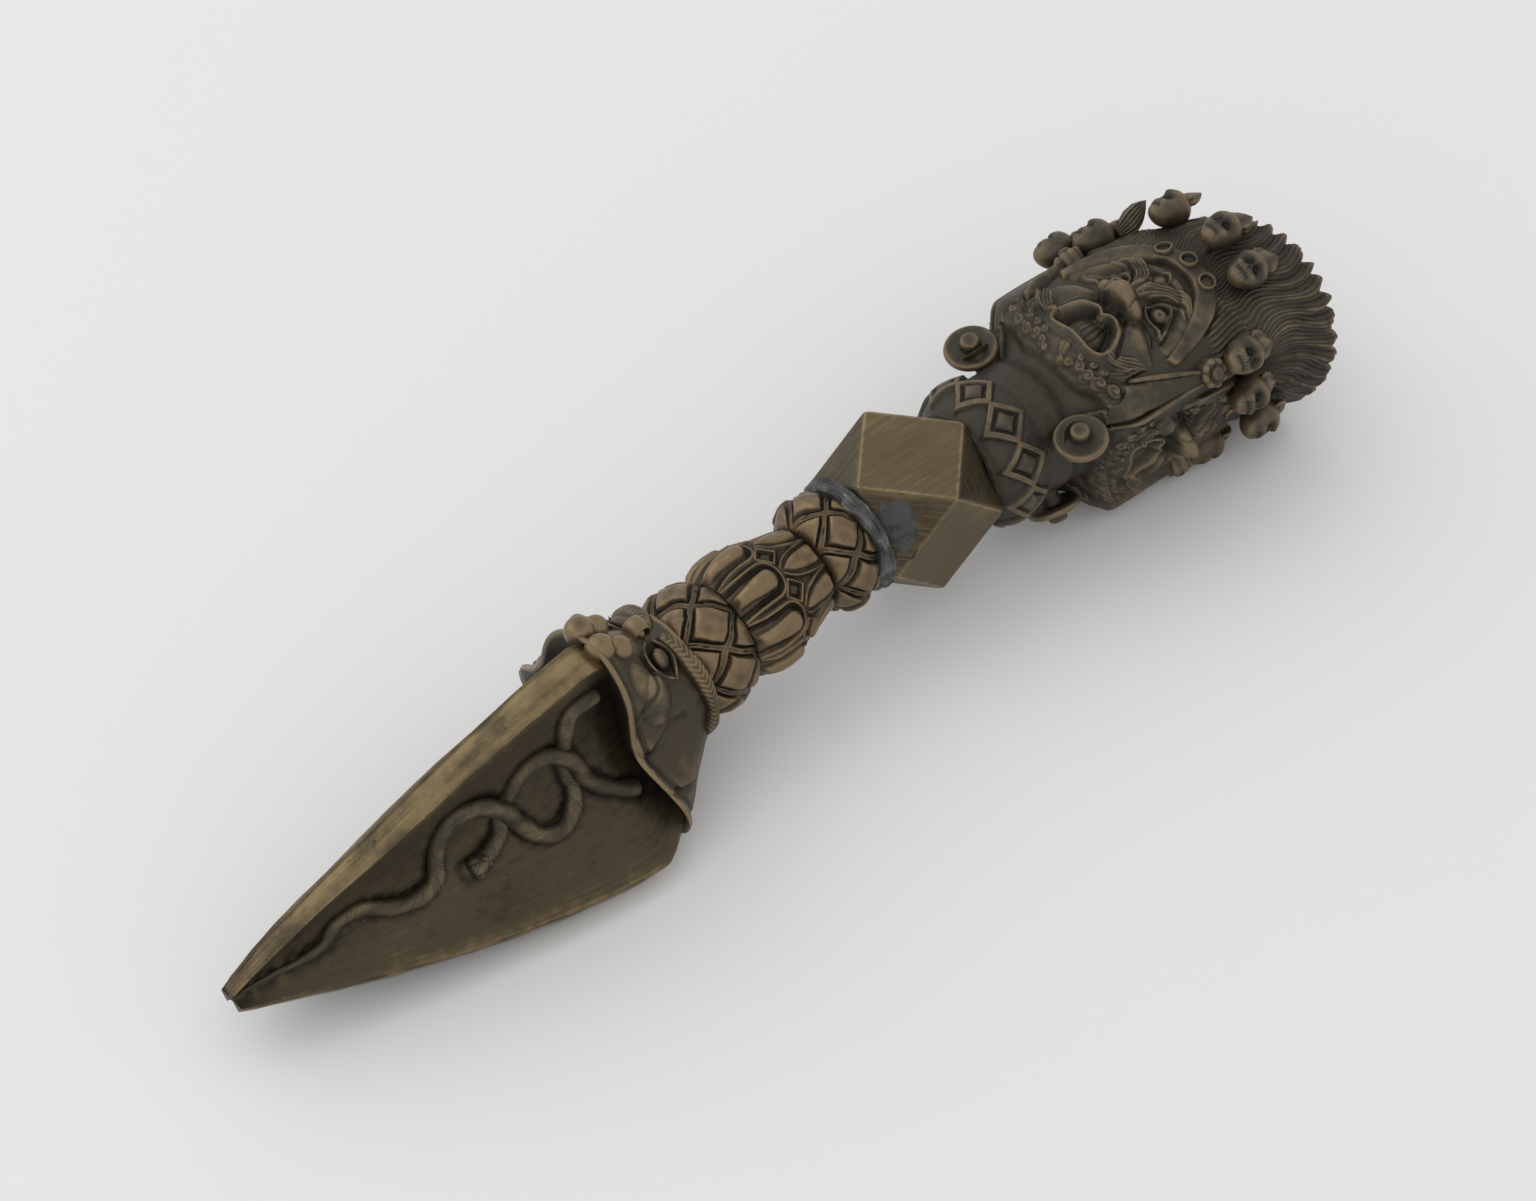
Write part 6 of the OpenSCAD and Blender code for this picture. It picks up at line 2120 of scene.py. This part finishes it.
@dataclass
class Hair(Piece):
    """Flame hair: fine wavy strands that flare to a ring of notched tips, closed by a low dome."""

    tips: int = 36
    tall: float = 12.76
    mouth: float = 18.6  # radius at the tips
    drift: float = 3.6  # how far the hair leans to one side
    start: float = 79.2
    rows: int = 122
    columns: int = 560
    leaves: Path = (  # angle, foot, length, half width, how far out and how far round the tip bends
        (-54.0, 78.4, 9.6, 2.4, 2.6, -1.0), (-66.0, 79.0, 7.0, 1.9, 1.6, -0.8))

    def build(self) -> None:
        """The flared wall of strands, the dome that closes it, and two loose locks."""
        angle, u = full_turn(self.columns), shares(self.rows)
        which = angle * self.tips / 360 + 0.14 * np.sin(angle * DEG * 7) + 0.1 * np.sin(angle * DEG * 17)
        lock = (which + 0.5) % 1
        tip = 1 - np.abs(2 * lock - 1) ** 1.7
        uneven = 0.85 + 0.15 * np.sin(np.floor(which + 0.5) * 2.4)
        wrapped = (angle + 180) % 360 - 180
        lean = 3.2 * np.cos((angle - 50) * DEG) - 1.62 * hump(wrapped, -15, 18)
        top = Z_HAIR + self.tall + lean + 1.9 * uneven * (tip - 0.5)
        z = self.start + (top - self.start) * u
        v = np.clip((z - Z_HAIR) / (self.tall + lean), 0, 1.1)
        root = head_base(angle, Z_HAIR) + 0.3 * (1 - v)
        r = root + (self.mouth - root) * smooth(v) + self.drift * v * np.cos((angle - 115) * DEG) + 0.3 * v
        phase = self.phase(angle, v)
        strand = 1 - np.abs(np.sin(np.pi * phase))
        swirl = self.swirl(angle, v)
        group = np.cos(2 * np.pi * (which + swirl * self.tips / 360))
        r = r + 0.3 * group * smooth(v * 1.4) - 0.38 * strand**1.6 + 0.15 * ripple(angle * 0.3, z, 7, 3)
        r = r - 0.4 * smooth((u - 0.95) / 0.05)
        hue = 0.15 * group * v + 0.45 * smooth((u - 0.9) / 0.08) - 0.35 * strand**2 - 0.05
        shrink = np.concatenate([np.linspace(0.97, 0.8, 11), np.linspace(0.78, 0.03, 28)])[:, None]
        lift = np.interp(shrink[:, 0], [0.03, 0.3, 0.6, 0.84, 0.97], [4.4, 3.1, 0.9, -0.45, 0.0])[:, None]
        rim = smooth((shrink - 0.84) / 0.13)
        bowl = self.mouth + self.drift * np.cos((angle - 115) * DEG)
        cap_r = shrink * (r[-1:] * rim + bowl * (1 - rim))
        cap_z = top * rim + (Z_HAIR + self.tall + lean * shrink) * (1 - rim) + lift
        cap_strand = 1 - np.abs(np.sin(np.pi * (angle * 0.35 + 6 * shrink)))
        cap_z = cap_z - 0.35 * cap_strand**1.6 * smooth(shrink * 4) * (1 - rim)
        points = np.concatenate([polar(r, angle, z), polar(cap_r, angle, cap_z)], 0)
        hue = np.concatenate([hue, -0.2 - 0.3 * cap_strand + 0.4 * rim], 0)
        body = Body(HEAD)
        body.grid(points, loop=True, caps=(False, True), hue=hue)
        for middle, foot, tall, wide, out_by, turned_by in self.leaves:
            self.leaf(body, middle, foot, tall, wide, out_by, turned_by)
        body.finish("flame_hair_casting", HEAD_BRASS, ["flame_hair"])

    @staticmethod
    def leaf(body: Body, middle: float, foot: float, tall: float, wide: float, out_by: float,
             turned_by: float) -> None:
        """Ribbed lock like a leaf, which stands out of the hair toward its tip.

        Args:
            body: mesh it joins.
            middle, foot: angle and height of its foot.
            tall, wide: its length and half width.
            out_by, turned_by: how far its tip stands out and aside.
        """
        s = np.linspace(0, 1, 44)[:, None]
        spin = full_turn(64, 2 * np.pi)
        half = wide * np.interp(s, [0, 0.15, 0.4, 0.65, 0.85, 1], [0.45, 0.75, 1.0, 0.85, 0.45, 0.04])
        out, side, up = directions(middle)
        reach = head_base(middle, foot) + 0.6 * wide + out_by * s**1.5
        across = half * np.cos(spin)
        rib = np.abs(np.cos(spin)) * 3.2 + 0.5
        wave = np.cos(2 * np.pi * rib)
        thick = (0.42 * half + 0.25) * np.sin(spin) + 0.22 * wave * (np.sin(spin) > 0) * smooth(4 * (1 - s))
        shift = thick + turned_by * s**2
        points = out * (reach + across)[..., None] + side * shift[..., None]
        points = points + up * (foot + tall * s + 0 * spin)[..., None]
        hue = 0.2 * s + 0.3 * wave * (np.sin(spin) > 0) - 0.1
        body.closed(points, hue=hue, outward=points - points.mean(1, keepdims=True))

    @staticmethod
    def swirl(angle: Array, v: Array) -> Array:
        """How far, in degrees, the strands swing to one side and back on their way up."""
        return 5.5 * np.sin(2 * np.pi * (0.85 * v + 0.12 * np.sin(angle * DEG * 3))) + 2.0 * v

    def phase(self, angle: Array, v: Array) -> Array:
        """Count of strands round the head, about 0.85 mm apart at the middle of the hair."""
        return (angle + self.swirl(angle, v)) / 360 * 138 + 0.3 * np.sin(angle * DEG * 11 + 5 * v)


# --- Inner rods, table, light and camera ---------------------------------------------------------


class Rods(Piece):
    """Tang and head core, which are inside and are kept as the frame has them."""

    def build(self) -> None:
        """Gives each rod the finish of the head."""
        for name in ("tang", "head_core"):
            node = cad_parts[name]
            node.data.materials.clear()
            node.data.materials.append(HEAD_BRASS.material())


@dataclass
class Studio:
    """Pale table, soft light from the upper left, and the camera of the photograph."""

    paper: Triple = (0.80, 0.80, 0.805)
    half_table: float = 3.0
    lamps: tuple[tuple, ...] = (  # name, place in metres, width, power
        ("key", (-0.35, 0.75, 0.95), 1.2, 3.1), ("fill", (-0.9, -0.7, 0.8), 1.2, 1.4))
    room: tuple[float, ...] = (1.0, 0.995, 0.985, 1)
    room_strength: float = 0.84
    tilt: float = 1.3  # degrees
    lens_pixels: float = 4500.0
    photo_width: int = 1536
    sensor: float = 36.0

    def build(self) -> None:
        """Makes table, lamps and camera."""
        self.floor()
        self.lights()
        self.camera()

    @staticmethod
    def plain(name: str, colour: Triple, rough: float) -> bpy.types.Material:
        """Matt material with a faint unevenness.

        Args:
            name: its name.
            colour: its colour, linear.
            rough: its roughness.

        Returns:
            The material.
        """
        made = bpy.data.materials.new(name)
        made.use_nodes = True
        g = Graph(made.node_tree)
        shader = made.node_tree.nodes["Principled BSDF"]
        place = g.node("ShaderNodeTexCoord").outputs["Object"]
        grain = g.times(g.noise(place, 260.0, 3.0), 0.035)
        one = g.math("ADD", grain, 0.5)
        low = tuple(c * 0.93 for c in colour)
        high = tuple(min(1.0, c * 1.07) for c in colour)
        g.put(shader.inputs["Base Color"], g.mix(one, low, high))
        shader.inputs["Roughness"].default_value = rough
        shader.inputs["Specular IOR Level"].default_value = 0.15
        return made

    def floor(self) -> None:
        """The table top."""
        mesh = bpy.data.meshes.new("table_top")
        s = self.half_table
        mesh.from_pydata([(-s, -s, 0), (s, -s, 0), (s, s, 0), (-s, s, 0)], [], [(0, 1, 2, 3)])
        piece = bpy.data.objects.new("table_top", mesh)
        bpy.context.scene.collection.objects.link(piece)
        mesh.materials.append(self.plain("table_paper", self.paper, 0.75))
        piece.location.z = -0.00005

    def lights(self) -> None:
        """One wide soft box, a weak fill and a pale room."""
        scene = bpy.context.scene
        for name, place, size, power in self.lamps:
            lamp = bpy.data.lights.new(name, "AREA")
            lamp.size = size
            lamp.energy = power
            holder = bpy.data.objects.new(name, lamp)
            scene.collection.objects.link(holder)
            away = np.array(place)
            back = away / np.linalg.norm(away)
            right = np.cross([0, 0, 1.0], back)
            right /= np.linalg.norm(right)
            holder.matrix_world = self.stand(right, np.cross(back, right), back, away)
        world = scene.world or bpy.data.worlds.new("room")
        scene.world = world
        world.use_nodes = True
        background = world.node_tree.nodes["Background"]
        background.inputs["Color"].default_value = self.room
        background.inputs["Strength"].default_value = self.room_strength

    @staticmethod
    def stand(right: Array, up: Array, back: Array, place: Array) -> Matrix:
        """Where a lamp or camera stands, as a matrix of its three directions and its place."""
        matrix = np.eye(4)
        matrix[:3] = np.stack([right, up, back, place], -1)
        return Matrix(matrix.tolist())

    def camera(self) -> None:
        """Camera that sees what the photograph shows, 1536 by 1201."""
        tilt = turn(Axis.Y, self.tilt)
        right = tilt @ np.array([0.729, -0.6845, 0])
        up = tilt @ np.array([0.4876, 0.5193, 0.7018])
        back = tilt @ np.array([-0.4804, -0.5116, 0.7124])
        place = (tilt @ np.array([-393.17, -397.76, 550.84]) + JOINT) * MM
        lens = bpy.data.cameras.new("camera")
        lens.sensor_width = self.sensor
        lens.lens = self.lens_pixels / self.photo_width * self.sensor
        lens.clip_start, lens.clip_end = 0.05, 20
        lens.dof.use_dof = False
        holder = bpy.data.objects.new("camera", lens)
        bpy.context.scene.collection.objects.link(holder)
        holder.matrix_world = self.stand(right, up, back, place)
        bpy.context.scene.camera = holder
        bpy.context.scene.view_settings.view_transform = "Standard"


def dagger() -> list[Piece]:
    """Every piece of the object, in order."""
    pieces = [Blade(), Mask()]
    for k, side in enumerate(("right", "under", "left")):
        pieces.append(Snake(f"long_snake_{side}", k, LONG_SNAKE))
        pieces.append(Snake(f"short_snake_{side}", k, SHORT_SNAKE, head=True))
    pieces += [
        Knot("lower_knot", T_KNOT, 12.0, 11.8, 9.2, 20.0), Lotus(),
        Knot("upper_knot", 0.9, 10.2, 11.1, 7.6, 24.0), Solder(), FacetBlock(), Collar(), Head(), Ears(),
        Earrings(), Bands(), Skulls(), Hair(), Rods(),
    ]
    return pieces


def main() -> None:
    """Builds the object and the studio."""
    for piece in dagger():
        piece.build()
    Studio().build()


if __name__ == "__main__":
    main()
